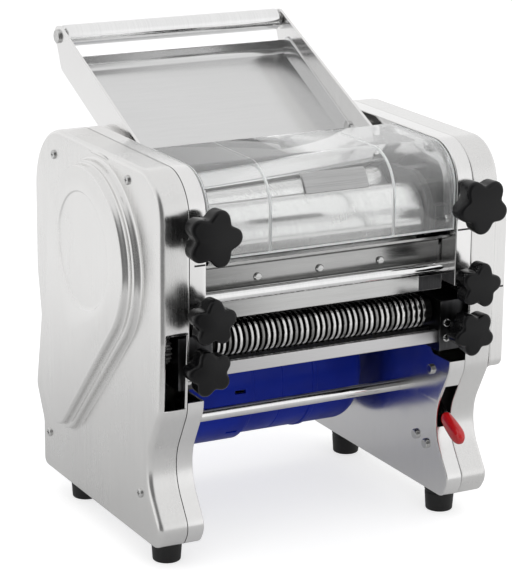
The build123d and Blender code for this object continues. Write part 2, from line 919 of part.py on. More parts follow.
def foot_plates():
    """Plates inside the housings that the feet are bolted to."""
    plates = []
    for x, y in foot_places():
        floor_z = bottom_z + panel
        plate = block(
            cavity_x + foot_plate_gap,
            face_x - foot_plate_margin,
            y - foot_plate_half_depth,
            y + foot_plate_half_depth,
            floor_z,
            floor_z + foot_plate_thickness,
        )
        drill = Cylinder(foot_bolt_radius + stud_clearance, 2 * (foot_plate_thickness + overrun))
        plate -= Pos(x, y, floor_z) * drill
        plates.append(plate)
    return group(*[both_sides(plate) for plate in plates])


def foot_bolts():
    """Bolts down through the plates into the feet."""
    bolts = []
    for x, y in foot_places():
        seat = bottom_z + panel + foot_plate_thickness
        length = seat - foot_bolt_end_z
        radius = foot_bolt_radius - running_clearance
        shank = Pos(x, y, seat - length / 2) * Cylinder(radius, length)
        head = extrude(Pos(x, y, seat) * RegularPolygon(foot_head_radius, 6), amount=foot_head_height)
        bolts.append(shank + head)
    return group(*[both_sides(bolt) for bolt in bolts])


# ---- dough rollers, their bearings and gears ----
def dough_roller(y, left_x, right_x):
    """A smooth roller with journals that reach to left_x and right_x."""
    drum = rod(-roller_half_length, roller_half_length, y, roller_z, roller_radius)
    drum = chamfer(drum.edges(), roller_chamfer)
    return drum + rod(left_x, right_x, y, roller_z, roller_journal_radius)


def rear_roller():
    """The driven roller: belt pulley at its left end, gears at its right."""
    return dough_roller(rear_roller_y, pulley_end_x, train_gear_x + gear_width + journal_end)


def front_roller():
    """The roller that backs away to set the dough's thickness."""
    left_end = -cavity_x - bearing_block_width
    return dough_roller(front_roller_y, left_end, pair_gear_x + gear_width + journal_end)


def rear_roller_gear():
    """Two toothed rims on one hub: one for the front roller, one for the cutter."""
    bore = roller_journal_radius
    pair = gear(pair_gear_x, rear_roller_y, roller_z, roller_gear_module, roller_gear_teeth, 0.0, bore)
    train = Pos(train_gear_x - pair_gear_x, 0, 0) * pair
    hub_face = Pos(rear_roller_y, roller_z) * (Circle(bore + gear_hub_wall) - Circle(bore))
    return pair + train + slab(hub_face, pair_gear_x, train_gear_x)


def front_roller_gear():
    """The gear on the front roller, in mesh with the rear roller's inner rim."""
    turn = meshed_phase(
        rear_roller_y, roller_z, roller_gear_teeth, 0.0, front_roller_y, roller_z, roller_gear_teeth
    )
    return gear(
        pair_gear_x, front_roller_y, roller_z, roller_gear_module, roller_gear_teeth, turn,
        roller_journal_radius,
    )


def bearing_ring(y):
    """A bearing round a roller journal, in the right block."""
    start = cavity_x + bearing_floor
    bore = roller_journal_radius + running_clearance
    return tube(start, start + bearing_width, y, roller_z, bearing_radius, bore)


def bearing_seat(y):
    """The stepped bore of a bearing block, open towards the seam."""
    seat = rod(cavity_x + bearing_floor, seam_x, y, roller_z, bearing_radius)
    return seat + rod(panel_x, seam_x, y, roller_z, bearing_radius - bearing_shoulder)


def rear_bearing_blocks():
    """Fixed blocks on the panels for the rear roller."""
    half = bearing_block_half_depth
    body = block(
        cavity_x,
        cavity_x + bearing_block_width,
        rear_roller_y - half,
        rear_roller_y + half,
        roller_z - rear_block_half_height,
        roller_z + rear_block_half_height,
    )
    return both_sides(body - bearing_seat(rear_roller_y))


def front_bearing_blocks():
    """Sliding blocks for the front roller, tapped for the top knobs."""
    half = bearing_block_half_depth
    body = block(
        cavity_x + soft_clearance,
        cavity_x + bearing_block_width,
        front_roller_y - half,
        front_roller_y + half,
        front_block_bottom_z,
        front_block_top_z,
    )
    body -= bearing_seat(front_roller_y)
    bore = knob_stud_radius + running_clearance
    front = front_roller_y - half - overrun
    rear = front_roller_y + half + overrun
    return both_sides(body - pin_along_y(knob_x, top_knob_z, front, rear, bore))


def block_guides():
    """Rails above and below each sliding block."""
    reach = bearing_block_half_depth + guide_rail_overhang
    rails = []
    lower_z = front_block_bottom_z - guide_rail_height - soft_clearance
    for z in (lower_z, front_block_top_z + soft_clearance):
        rails.append(block(
            cavity_x,
            cavity_x + guide_rail_width,
            front_roller_y - reach,
            front_roller_y + reach,
            z,
            z + guide_rail_height,
        ))
    return group(*[both_sides(rail) for rail in rails])


# ---- scrapers, deck and guide plate ----
def deck_plate():
    """Bent plate under the guard: an upright face and a lip that leans forward."""
    lean = atan2(deck_lip_z - deck_bend_z, deck_face_y - deck_lip_y)
    rise = deck_thickness / cos(lean)
    rear = deck_face_y + deck_thickness
    face = outline([
        (deck_face_y, deck_bottom_z, 0.0),
        (deck_face_y, deck_bend_z, deck_bend_radius),
        (deck_lip_y, deck_lip_z, 0.0),
        (deck_lip_y, deck_lip_z + rise, 0.0),
        (rear, deck_bend_z + rise - deck_thickness * tan(lean), deck_bend_radius + deck_thickness),
        (rear, deck_bottom_z, 0.0),
    ])
    plate = slab(face, -guard_half_width, guard_half_width)
    for x in deck_screw_places():
        radius = screw_shank_radius + screw_clearance
        plate -= pin_along_y(x, deck_screw_z, deck_face_y - overrun, deck_face_y + overrun, radius)
    return plate


def deck_screw_places():
    """The deck's screws along X."""
    return [-deck_screw_pitch, 0.0, deck_screw_pitch]


def face_screw(x, y, z):
    """A slotted domed screw along Y whose head sits on a front face at y."""
    head = pin_along_y(x, z, y - face_screw_head_height, y, face_screw_head_radius)
    head = fillet(head.faces().sort_by(Axis.Y)[0].edges(), face_screw_dome_radius)
    slot = Box(2 * face_screw_head_radius, 2 * face_screw_slot_depth, face_screw_slot_width)
    head -= Pos(x, y - face_screw_head_height, z) * slot
    return head + pin_along_y(x, z, y, y + face_screw_length, screw_shank_radius)


def deck_screws():
    """The screws through the deck into the front scraper bar."""
    return group(*[face_screw(x, deck_face_y, deck_screw_z) for x in deck_screw_places()])


def scraper_bar():
    """The bar behind the deck, between the panels."""
    start = deck_face_y + deck_thickness
    bar = block(
        -panel_x, panel_x, start, start + scraper_bar_depth, scraper_bar_bottom_z, scraper_bar_top_z
    )
    for x in deck_screw_places():
        bore_end = deck_face_y + face_screw_length
        bar -= pin_along_y(x, deck_screw_z, start - overrun, bore_end, screw_shank_radius)
    return bar


def scraper_blade():
    """An angled strip that keeps dough off the front roller."""
    start = deck_face_y + deck_thickness + scraper_bar_depth
    tip = front_roller_y - scraper_tip_gap
    face = outline([
        (start, scraper_bar_bottom_z, 0.0),
        (start, scraper_blade_top_z, scraper_bend_radius),
        (tip, scraper_blade_top_z, 0.0),
        (tip - scraper_bevel, scraper_blade_top_z - sheet, 0.0),
        (start + sheet, scraper_blade_top_z - sheet, 0.0),
        (start + sheet, scraper_bar_bottom_z, 0.0),
    ])
    return slab(face, -roller_half_length, roller_half_length)


def about_nip(shape):
    """The same piece on the other side of the plane between the rollers."""
    return mirror(shape, about=Plane(origin=(0, nip_y, 0), x_dir=(1, 0, 0), z_dir=(0, 1, 0)))


def guide_plate():
    """Sloping plate that leads the dough sheet into the cutter."""
    face = outline([
        (guide_top_y, guide_top_z, 0.0),
        (guide_top_y + deck_thickness, guide_top_z, 0.0),
        (guide_bottom_y + deck_thickness, guide_bottom_z, 0.0),
        (guide_bottom_y, guide_bottom_z, 0.0),
    ])
    return slab(face, -guide_half_length, guide_half_length)


def guide_brackets():
    """Blocks on the panels that hold the guide plate's ends."""
    body = block(
        guide_half_length,
        panel_x,
        guide_top_y + guide_bracket_inset,
        guide_top_y + guide_bracket_inset + guide_bracket_depth,
        guide_bottom_z + guide_bracket_inset,
        guide_top_z - 2 * guide_bracket_inset,
    )
    return both_sides(body)


# ---- cheeks beside the rollers ----
def cheeks():
    """Plates that keep the dough between the rollers' ends."""
    face = two_circle_hull(
        front_roller_y, roller_z, cheek_front_radius, rear_roller_y, roller_z, cheek_rear_radius
    )
    plate = slab(face, cheek_inner_x, cheek_inner_x + cheek_thickness)
    journal = roller_journal_radius + cheek_hole_margin
    through = (cheek_inner_x - overrun, cheek_inner_x + cheek_thickness + overrun)
    plate -= rod(*through, rear_roller_y, roller_z, journal)
    plate -= slab(front_journal_slot(journal), *through)
    low_z = roller_z - cheek_front_radius - overrun
    front_corner = block(
        *through, front_y, deck_face_y + cheek_deck_gap, low_z, deck_bend_z + cheek_lip_gap
    )
    return both_sides(plate - front_corner)


def cheek_blocks():
    """Small blocks between the cheeks and the panels."""
    outer = cheek_inner_x + cheek_thickness
    depth = cheek_block_half_depth
    height = cheek_block_half_height
    places = [
        (front_roller_y - cheek_front_radius + depth + 1, roller_z + 2 * height),
        (nip_y, roller_z + cheek_rear_radius - height),
        (rear_roller_y + cheek_rear_radius - 2 * depth, roller_z - height),
    ]
    blocks = [block(outer, panel_x, y - depth, y + depth, z - height, z + height) for y, z in places]
    return group(*[both_sides(body) for body in blocks])


# ---- clear guard ----
def guard_band(inset, thickness, x_from, x_to):
    """A band that follows the housing's front and top edges."""
    outer = guard_inset + inset
    face = housing_face(outer) - housing_face(outer + thickness)
    keep = Pos((front_y + guard_rear_y) / 2, (guard_lower_z + top_z) / 2)
    keep = keep * Rectangle(guard_rear_y - front_y, top_z - guard_lower_z)
    return slab(face & keep, x_from, x_to)


def guard_sheet():
    """The curved clear sheet over the rollers."""
    return guard_band(0.0, guard_thickness, -guard_half_width, guard_half_width)


def guard_ribs():
    """Two clear ribs bonded inside the sheet."""
    half = guard_thickness / 2
    bands = []
    for x in (-guard_rib_x, guard_rib_x):
        bands.append(guard_band(guard_thickness, guard_rib_depth, x - half, x + half))
    return group(*bands)


def guard_screw_places():
    """The guard's screws into each inner panel."""
    low = (front_y + guard_screw_low_y, guard_lower_z + guard_screw_low_z)
    high = (front_y + guard_screw_high_y, top_z - guard_screw_high_z)
    return [low, high]


def guard_flanges():
    """Clear side plates that the guard is screwed on by."""
    start = guard_half_width - guard_thickness
    plate = guard_band(guard_thickness, guard_flange_depth, start, guard_half_width)
    for y, z in guard_screw_places():
        radius = guard_screw_radius + screw_clearance
        plate -= rod(start - overrun, guard_half_width + overrun, y, z, radius)
    return both_sides(plate)


def guard_screws():
    """Screws through the flanges into the panels, with spacers behind them."""
    screws = []
    for y, z in guard_screw_places():
        seat = guard_half_width - guard_thickness
        head = domed_head(seat, y, z, inner_head_height, face_screw_head_radius)
        shank = rod(seat, cavity_x + guard_screw_reach, y, z, guard_screw_radius)
        spacer = rod(guard_half_width, panel_x, y, z, guard_spacer_radius)
        screws.append(head + shank + spacer)
    return group(*[both_sides(screw) for screw in screws])


def nameplate():
    """A bare plate on the guard's front curve."""
    middle = Pos(front_y + top_front_radius, top_z - top_front_radius)
    radius = top_front_radius - guard_inset
    ring = Circle(radius + plate_thickness) - Circle(radius)
    start = 180 - plate_end_angle
    end = 180 - plate_start_angle
    reach = 2 * radius
    wedge = make_face(Polyline(
        (0, 0),
        (reach * cos(radians(start)), reach * sin(radians(start))),
        (reach * cos(radians(end)), reach * sin(radians(end))),
        close=True,
    ).edges())
    return slab(middle * (ring & wedge), plate_x - plate_half_length, plate_x + plate_half_length)


# ---- dough tray ----
def arm_point(along, aside):
    """A point on the tray arm: along it from the roller, aside from its upper edge."""
    edge_y = tray_roller_y - arm_end_radius * sin(arm_slope)
    edge_z = tray_roller_z + arm_end_radius * cos(arm_slope)
    y = edge_y - along * cos(arm_slope) + aside * sin(arm_slope)
    z = edge_z - along * sin(arm_slope) - aside * cos(arm_slope)
    return y, z


def tray_arm():
    """The right tray arm: a wide flat bar that carries the guide roller."""
    length = (tray_roller_y - arm_front_y) / cos(arm_slope)
    face = outline([
        (*arm_point(0.0, 0.0), 0.0),
        (*arm_point(length, 0.0), arm_front_corner),
        (*arm_point(length, arm_width), arm_low_corner),
        (*arm_point(arm_step, arm_width), arm_step_corner),
        (*arm_point(0.0, 2 * arm_end_radius), 0.0),
    ])
    plate = slab(face, arm_outer_x - arm_thickness, arm_outer_x)
    plate += rod(
        arm_outer_x - arm_thickness, arm_outer_x, tray_roller_y, tray_roller_z, arm_end_radius
    )
    plate -= rod(0, arm_outer_x + overrun, tray_roller_y, tray_roller_z, tray_axle_radius)
    for y, z in tray_bolt_places():
        plate -= rod(0, arm_outer_x + overrun, y, z, rod_bolt_radius + screw_clearance)
    return plate


def tray_bolt_places():
    """The bolts between each tray arm and its panel."""
    length = (tray_roller_y - arm_front_y) / cos(arm_slope)
    first = length - arm_bolt_inset
    aside = arm_width - arm_bolt_edge
    return [arm_point(first, aside), arm_point(first - arm_bolt_pitch, aside)]


def tray_bolts():
    """Bolts with spacers that hang the tray arms on the panels."""
    bolts = []
    for y, z in tray_bolt_places():
        seat = arm_outer_x - arm_thickness
        head = domed_head(seat, y, z, inner_head_height, arm_bolt_head_radius)
        shank = rod(seat, cavity_x + arm_bolt_reach, y, z, rod_bolt_radius)
        spacer = rod(arm_outer_x, panel_x, y, z, arm_bolt_head_radius)
        bolts.append(head + shank + spacer)
    return group(*[both_sides(bolt) for bolt in bolts])


def tray_pan():
    """The sheet-metal pan: a sloping floor with side flanges and an upturned rear lip."""
    lean = atan2(pan_lip_z - pan_front_z, pan_lip_y - pan_front_y)
    drop = sheet / cos(lean)
    floor_face = outline([
        (pan_front_y, pan_front_z, 0.0),
        (pan_lip_y, pan_lip_z, 0.0),
        (pan_lip_y, pan_lip_z - drop, 0.0),
        (pan_front_y, pan_front_z - drop, 0.0),
    ])
    side_face = outline([
        (pan_front_y, pan_front_z - drop, 0.0),
        (pan_front_y, pan_front_z + pan_side_height, pan_front_corner),
        (pan_lip_y, pan_lip_z + pan_side_height, pan_rear_corner),
        (pan_lip_y, pan_lip_z - drop, 0.0),
    ])
    edge = arm_outer_x - arm_thickness
    pan = slab(floor_face, -edge, edge)
    side = slab(side_face, edge - sheet, edge)
    pan = pan + side + mirrored(side)
    lip_face = outline([
        (pan_lip_y - sheet, pan_lip_z - drop, 0.0),
        (pan_lip_y, pan_lip_z - drop, 0.0),
        (pan_lip_y - pan_lip_lean, pan_lip_z + pan_lip_height, 0.0),
        (pan_lip_y - pan_lip_lean - sheet, pan_lip_z + pan_lip_height, 0.0),
    ])
    pan = pan + slab(lip_face, -edge, edge)
    for y, z in tray_bolt_places():
        for x in (edge, -edge):
            pan -= rod(x - overrun, x + overrun, y, z, pan_bolt_hole)
    return pan


def tray_guide_roller():
    """The free-turning tube across the top of the tray."""
    half = tray_roller_half_length
    inner = tray_roller_radius - roller_tube_wall
    body = tube(-half, half, tray_roller_y, tray_roller_z, tray_roller_radius, inner)
    bore = tray_axle_radius + running_clearance
    cap = tube(half - roller_cap_length, half, tray_roller_y, tray_roller_z, inner, bore)
    return body + cap + mirrored(cap)


def tray_axle():
    """The axle through the guide roller, with a screw head at each end."""
    head_outer = arm_outer_x + axle_head_height
    axle = rod(-head_outer, head_outer, tray_roller_y, tray_roller_z, tray_axle_radius)
    head = rod(arm_outer_x, head_outer, tray_roller_y, tray_roller_z, axle_head_radius)
    head = fillet(head.faces().sort_by(Axis.X)[-1].edges(), axle_head_dome)
    collar_x = (tray_roller_half_length + soft_clearance, arm_outer_x - arm_thickness)
    collar = rod(*collar_x, tray_roller_y, tray_roller_z, axle_head_radius)
    return axle + head + mirrored(head) + collar + mirrored(collar)


# ---- cutter unit ----
def ring_starts(shift):
    """Where each cutting ring starts along X, shifted by a share of the pitch."""
    usable = 2 * (cutter_half_length - cutter_plain_end)
    count = floor(usable / cutter_ring_pitch)
    first = -count * cutter_ring_pitch / 2 + shift * cutter_ring_pitch
    return [first + index * cutter_ring_pitch for index in range(count)]


def cutter_roller(y, shift, left_x, right_x):
    """A grooved cutting roller, turned in one piece with its journals."""
    profile = [(left_x, 0.0), (left_x, cutter_journal_radius)]
    profile += [(-cutter_half_length, cutter_journal_radius), (-cutter_half_length, cutter_core_radius)]
    for start in ring_starts(shift):
        end = start + cutter_ring_width
        profile += [(start, cutter_core_radius), (start, cutter_ring_radius)]
        profile += [(end, cutter_ring_radius), (end, cutter_core_radius)]
    profile += [(cutter_half_length, cutter_core_radius), (cutter_half_length, cutter_journal_radius)]
    profile += [(right_x, cutter_journal_radius), (right_x, 0.0)]
    face = make_face(Polyline(*profile, close=True).edges())
    turned = revolve(Plane.XY * face, axis=Axis.X)
    return Pos(0, y, cutter_z) * turned


def front_cutter():
    """The cutting roller in front."""
    return cutter_roller(cutter_y, 0.0, -train_gear_x - gear_width - cutter_shaft_end, block_outer_x)


def rear_cutter():
    """The driven cutting roller behind it, with its rings in the other's grooves."""
    end = train_gear_x + gear_width + cutter_shaft_end
    return cutter_roller(rear_cutter_y, 0.5, -end, end)


def cutter_pair_gear(y, turn):
    """One of the two equal gears at the cutting rollers' left ends."""
    start = -train_gear_x - gear_width
    return gear(
        start, y, cutter_z, cutter_gear_module, cutter_gear_teeth, turn, cutter_journal_radius
    )


def front_cutter_gear():
    """The gear on the front cutting roller."""
    return cutter_pair_gear(cutter_y, pi / cutter_gear_teeth)


def rear_cutter_gear():
    """The gear on the rear cutting roller, in mesh with the front one."""
    turn = meshed_phase(
        cutter_y, cutter_z, cutter_gear_teeth, pi / cutter_gear_teeth,
        rear_cutter_y, cutter_z, cutter_gear_teeth,
    )
    return cutter_pair_gear(rear_cutter_y, turn)


def idler_phase():
    """The idler's phase, set by the rear roller's gear."""
    return meshed_phase(
        rear_roller_y, roller_z, roller_gear_teeth, 0.0, idler_y, idler_z, idler_teeth
    )


def idler_gear():
    """The gear between the rear roller and the cutter."""
    bore = idler_shaft_radius + running_clearance
    return gear(train_gear_x, idler_y, idler_z, roller_gear_module, idler_teeth, idler_phase(), bore)


def idler_shaft():
    """The idler's stub shaft on the right panel, with a flange and an end washer."""
    washer_x = train_gear_x + gear_width + soft_clearance
    washer_end = washer_x + idler_washer_thickness
    shaft = rod(cavity_x, washer_end, idler_y, idler_z, idler_shaft_radius)
    flange_end = cavity_x + idler_flange_thickness
    flange = rod(cavity_x, flange_end, idler_y, idler_z, idler_flange_radius)
    shoulder_end = train_gear_x - soft_clearance
    shoulder = rod(cavity_x, shoulder_end, idler_y, idler_z, idler_shoulder_radius)
    washer = rod(washer_x, washer_end, idler_y, idler_z, idler_shoulder_radius)
    return shaft + flange + shoulder + washer


def cutter_drive_gear():
    """The small gear on the rear cutting roller's right end."""
    turn = meshed_phase(
        idler_y, idler_z, idler_teeth, idler_phase(), rear_cutter_y, cutter_z, cutter_drive_teeth
    )
    return gear(
        train_gear_x, rear_cutter_y, cutter_z, roller_gear_module, cutter_drive_teeth, turn,
        cutter_journal_radius,
    )


def block_screw_places():
    """Screws in the front of each end block, as x and z."""
    outer = (block_outer_x - block_outer_screw_inset, block_bottom_z + block_outer_screw_rise)
    inner_x = block_inner_x + block_inner_screw_inset
    return [outer] + [(inner_x, block_bottom_z + rise) for rise in block_inner_screw_rises]


def cutter_end_blocks():
    """The blocks at the cutter's ends, bored for both rollers and the lower knobs."""
    body = block(block_inner_x, block_outer_x, block_front_y, block_rear_y, block_bottom_z, block_top_z)
    body = fillet(body.edges().filter_by(Axis.X), block_edge_radius)
    bore = cutter_journal_radius + running_clearance
    for y in (cutter_y, rear_cutter_y):
        body -= rod(block_inner_x - overrun, block_outer_x + overrun, y, cutter_z, bore)
    stud = knob_stud_radius + running_clearance
    start = block_front_y - overrun
    body -= pin_along_y(knob_x, lower_knob_z, start, block_front_y + block_bore_depth, stud)
    bore_end = block_front_y + face_screw_length + thread_spare
    for x, z in block_screw_places():
        body -= pin_along_y(x, z, start, bore_end, screw_shank_radius)
    return both_sides(body)


def block_screws():
    """Screws in the end blocks' front faces."""
    screws = [face_screw(x, block_front_y, z) for x, z in block_screw_places()]
    return group(*[both_sides(screw) for screw in screws])


def cutter_front_bar():
    """The flat bar along the front of the cutter, between the end blocks."""
    bar = block(
        -block_inner_x,
        block_inner_x,
        cutter_bar_front_y,
        cutter_bar_rear_y,
        cutter_bar_bottom_z,
        cutter_bar_top_z,
    )
    return chamfer(bar.edges().filter_by(Axis.X), cutter_bar_chamfer)


def cutter_comb(y, shift):
    """A comb whose fingers clear the noodles from one roller's grooves."""
    tip = cutter_z - cutter_core_radius - comb_clearance
    root = cutter_z - cutter_ring_radius - comb_ring_gap
    low = root - comb_bar_height
    starts = ring_starts(shift)
    profile = [(-block_inner_x, low), (-block_inner_x, root)]
    for start, following in zip(starts, starts[1:]):
        left = start + cutter_ring_width + comb_clearance
        right = following - comb_clearance
        profile += [(left, root), (left, tip), (right, tip), (right, root)]
    profile += [(block_inner_x, root), (block_inner_x, low)]
    face = make_face(Polyline(*profile, close=True).edges())
    start_y = y - comb_depth / 2
    return extrude(Plane.XZ.offset(-start_y) * face, amount=-comb_depth)


def cutter_combs():
    """The combs under both cutting rollers."""
    return group(cutter_comb(cutter_y, 0.0), cutter_comb(rear_cutter_y, 0.5))


# ---- belt drive and motor ----
def pulley(y, z, radius, bore):
    """A flat-belt pulley with two flanges."""
    body = tube(pulley_outer_x, pulley_inner_x, y, z, radius, bore)
    flange = radius + pulley_flange
    inner = tube(pulley_inner_x, pulley_inner_x + pulley_flange_width, y, z, flange, bore)
    outer = tube(pulley_outer_x - pulley_flange_width, pulley_outer_x, y, z, flange, bore)
    return body + inner + outer


def big_pulley():
    """The big pulley on the rear roller, lightened by a ring of holes."""
    body = pulley(rear_roller_y, roller_z, big_pulley_radius, roller_journal_radius)
    through = (pulley_outer_x - overrun, pulley_inner_x + overrun)
    for index in range(pulley_hole_count):
        turn = index * 2 * pi / pulley_hole_count
        y = rear_roller_y + pulley_hole_circle * cos(turn)
        z = roller_z + pulley_hole_circle * sin(turn)
        body -= rod(*through, y, z, pulley_hole_radius)
    return body


def motor_pulley():
    """The small pulley on the motor's shaft."""
    return pulley(motor_y, motor_z, small_pulley_radius, motor_shaft_radius)


def drive_belt():
    """The flat belt round both pulleys."""
    big = big_pulley_radius + soft_clearance
    small = small_pulley_radius + soft_clearance
    inner = two_circle_hull(rear_roller_y, roller_z, big, motor_y, motor_z, small)
    outer = two_circle_hull(
        rear_roller_y, roller_z, big + belt_thickness, motor_y, motor_z, small + belt_thickness
    )
    return slab(outer - inner, belt_x, belt_x + belt_width)


def motor_bolt_places():
    """The bolts round the motor's flange."""
    places = []
    for index in range(motor_bolt_count):
        turn = (index + 0.5) * 2 * pi / motor_bolt_count
        y = motor_y + motor_bolt_circle * cos(turn)
        z = motor_z + motor_bolt_circle * sin(turn)
        places.append((y, z))
    return places


def motor_flange():
    """The cast flange and neck that carry the motor on the left panel."""
    bore = motor_shaft_radius + motor_bore_margin
    flange_end = -panel_x + motor_flange_thickness
    neck_end = flange_end + motor_neck_length
    plate = tube(-panel_x, flange_end, motor_y, motor_z, motor_flange_radius, bore)
    neck = tube(-panel_x, neck_end, motor_y, motor_z, motor_neck_radius, bore)
    seal_bore = motor_shaft_radius + running_clearance
    seal = tube(neck_end - motor_seal_length, neck_end, motor_y, motor_z, bore, seal_bore)
    body = plate + neck + seal
    for y, z in motor_bolt_places():
        body -= rod(-panel_x - overrun, flange_end + overrun, y, z, rod_bolt_radius)
    return body


def motor_bolts():
    """The bolts through the left panel into the motor's flange."""
    length = panel + motor_flange_thickness - motor_bolt_tip
    return group(*[mirrored(side_bolt(cavity_x, y, z, length)) for y, z in motor_bolt_places()])


def motor_fan_cover():
    """The vented cover at the motor's shaft end, with slots round its rim."""
    start = motor_cover_x
    cover = rod(start, motor_body_x, motor_y, motor_z, motor_cover_radius)
    cover = fillet(cover.faces().sort_by(Axis.X)[0].edges(), motor_cover_edge_radius)
    inner = motor_cover_radius - motor_wall
    cover -= rod(start + motor_wall, motor_body_x + overrun, motor_y, motor_z, inner)
    hole = motor_shaft_radius + motor_cover_margin
    cover -= rod(start - overrun, start + 2 * overrun, motor_y, motor_z, hole)
    slot_middle = motor_body_x - motor_slot_length
    for index in range(motor_slot_count):
        turn = 360 * index / motor_slot_count
        reach = motor_cover_radius
        slot = Pos(0, reach, 0) * Box(motor_slot_length, 4 * motor_wall, motor_slot_width)
        cover -= Pos(slot_middle, motor_y, motor_z) * Rot(turn, 0, 0) * slot
    return cover


def motor_body():
    """The motor's round casing, a tube."""
    bore = motor_radius - motor_wall
    return tube(motor_body_x, motor_bell_x, motor_y, motor_z, motor_radius, bore)


def motor_stator():
    """The wound iron ring pressed into the casing."""
    outer = motor_radius - motor_wall
    start = motor_body_x + stator_inset
    end = motor_bell_x - stator_inset
    return tube(start, end, motor_y, motor_z, outer, outer - stator_depth)


def motor_end_bell():
    """The closed, rounded bell at the motor's right end, with a bearing boss."""
    bell = rod(motor_bell_x, motor_end_x, motor_y, motor_z, motor_radius)
    bell = fillet(bell.faces().sort_by(Axis.X)[-1].edges(), motor_bell_edge_radius)
    inner = motor_radius - 1.5 * motor_wall
    hollow = rod(motor_bell_x - overrun, motor_end_x - motor_wall, motor_y, motor_z, inner)
    hollow = fillet(hollow.faces().sort_by(Axis.X)[-1].edges(), motor_bell_inner_radius)
    bell = bell - hollow
    bore = motor_shaft_radius + running_clearance
    boss_end = motor_end_x - motor_wall / 2
    boss_radius = motor_shaft_radius + motor_boss_wall
    boss = tube(boss_end - motor_boss_length, boss_end, motor_y, motor_z, boss_radius, bore)
    return bell + boss


def motor_rotor():
    """The rotor on its shaft, which carries the small pulley and the fan."""
    shaft_end = motor_end_x - motor_wall - rotor_end_gap
    shaft = rod(pulley_end_x - journal_end, shaft_end, motor_y, motor_z, motor_shaft_radius)
    core_radius = motor_radius - motor_wall - stator_depth - air_gap
    core_x = (motor_body_x + stator_inset, motor_bell_x - stator_inset)
    core = rod(*core_x, motor_y, motor_z, core_radius)
    return shaft + core


def motor_fan():
    """The cooling fan inside the vented cover."""
    start = motor_body_x - fan_start
    end = start + fan_hub_length
    fan = tube(start, end, motor_y, motor_z, fan_hub_radius, motor_shaft_radius)
    fan = fan + tube(end - fan_blade_thickness, end, motor_y, motor_z, fan_disc_radius, motor_shaft_radius)
    blade = Pos(0, fan_blade_middle, 0)
    blade = blade * Box(fan_blade_width, fan_blade_length, fan_blade_thickness)
    middle = Pos((start + end) / 2, motor_y, motor_z)
    for index in range(fan_blade_count):
        fan = fan + middle * Rot(360 * index / fan_blade_count, 0, 0) * blade
    return fan - rod(start - overrun, motor_body_x, motor_y, motor_z, motor_shaft_radius)


# ---- knobs ----
def star_face(radius):
    """A five-lobed star with soft lobes."""
    swing = radius * knob_lobe_depth
    middle = radius - swing
    count = knob_lobes * 8
    points = []
    for index in range(count):
        turn = 2 * pi * index / count
        reach = middle + swing * cos(knob_lobes * turn)
        points.append((reach * sin(turn), reach * cos(turn)))
    return make_face(Spline(*points, periodic=True))


def star_knob(x, z, radius, set_back, stud_end_y):
    """A star knob on a stud along Y, with its face towards the user."""
    face_y = knob_face_y + set_back
    head = extrude(star_face(radius), amount=knob_thickness)
    head = fillet(head.edges().filter_by(GeomType.BSPLINE), knob_edge_radius)
    head = Pos(x, face_y + knob_thickness, z) * Rot(90, 0, 0) * head
    back_y = face_y + knob_thickness
    neck_end = min(front_y - knob_neck_gap, back_y + knob_neck_length)
    neck = pin_along_y(x, z, back_y - knob_edge_radius, neck_end, knob_neck_radius)
    stud = pin_along_y(x, z, back_y, stud_end_y, knob_stud_radius)
    return head + neck + stud


def knobs():
    """The six knobs by name."""
    made = {}
    rows = [
        ("top", top_knob_z, top_knob_radius, 0.0, front_roller_y - top_stud_end_gap),
        ("middle", middle_knob_z, low_knob_radius, 0.0, recess_rear_y + middle_stud_length),
        ("lower", lower_knob_z, low_knob_radius, lower_knob_set_back, block_front_y + lower_stud_length),
    ]
    for level, z, radius, set_back, stud_end_y in rows:
        for side, x in (("left", -knob_x), ("right", knob_x)):
            made[f"{level}_{side}_knob"] = star_knob(x, z, radius, set_back, stud_end_y)
    return made


def knob_anchor_blocks():
    """Tapped blocks behind the recesses for the middle knobs."""
    body = block(
        cavity_x,
        cavity_x + bearing_block_width,
        recess_rear_y,
        recess_rear_y + anchor_depth,
        middle_knob_z - anchor_half_height,
        middle_knob_z + anchor_half_height,
    )
    bore = knob_stud_radius + running_clearance
    bore_end = recess_rear_y + anchor_bore_depth
    body -= pin_along_y(knob_x, middle_knob_z, recess_rear_y - overrun, bore_end, bore)
    return both_sides(body)


# ---- switch ----
def lever_angle():
    """The lever's slope at rest, in degrees above the front direction."""
    return degrees(atan2(lever_tip_z - lever_pivot_z, lever_pivot_y - lever_tip_y))


def along_lever(shape):
    """Put a shape drawn along the pivot's -Y direction onto the lever's slope."""
    return Pos(lever_x, lever_pivot_y, lever_pivot_z) * Rot(-lever_angle(), 0, 0) * shape


def switch_lever():
    """The steel lever on its pivot eye."""
    half = lever_thickness / 2
    reach = grip_start + lever_tongue
    arm = block(-half, half, -reach, 0, -lever_half_height, lever_half_height)
    eye = Rot(0, 90, 0) * Cylinder(lever_eye_radius, lever_thickness)
    bore = Rot(0, 90, 0) * Cylinder(lever_pin_radius + running_clearance, 3 * lever_thickness)
    return along_lever(arm + eye - bore)


def lever_grip():
    """The moulded grip on the lever's end, with a pocket for the steel arm."""
    length = hypot(lever_tip_y - lever_pivot_y, lever_tip_z - lever_pivot_z)
    half = grip_width / 2
    body = block(-half, half, -length, -grip_start, -grip_height / 2, grip_height / 2)
    body = fillet(body.edges().filter_by(Axis.X), grip_edge_radius)
    body = fillet(body.faces().sort_by(Axis.X)[-1].edges(), grip_face_radius)
    body = fillet(body.faces().sort_by(Axis.X)[0].edges(), grip_face_radius)
    half_pocket = lever_thickness / 2
    pocket_y = (-grip_start - lever_tongue, -grip_start + overrun)
    pocket = block(-half_pocket, half_pocket, *pocket_y, -lever_half_height, lever_half_height)
    return along_lever(body - pocket)


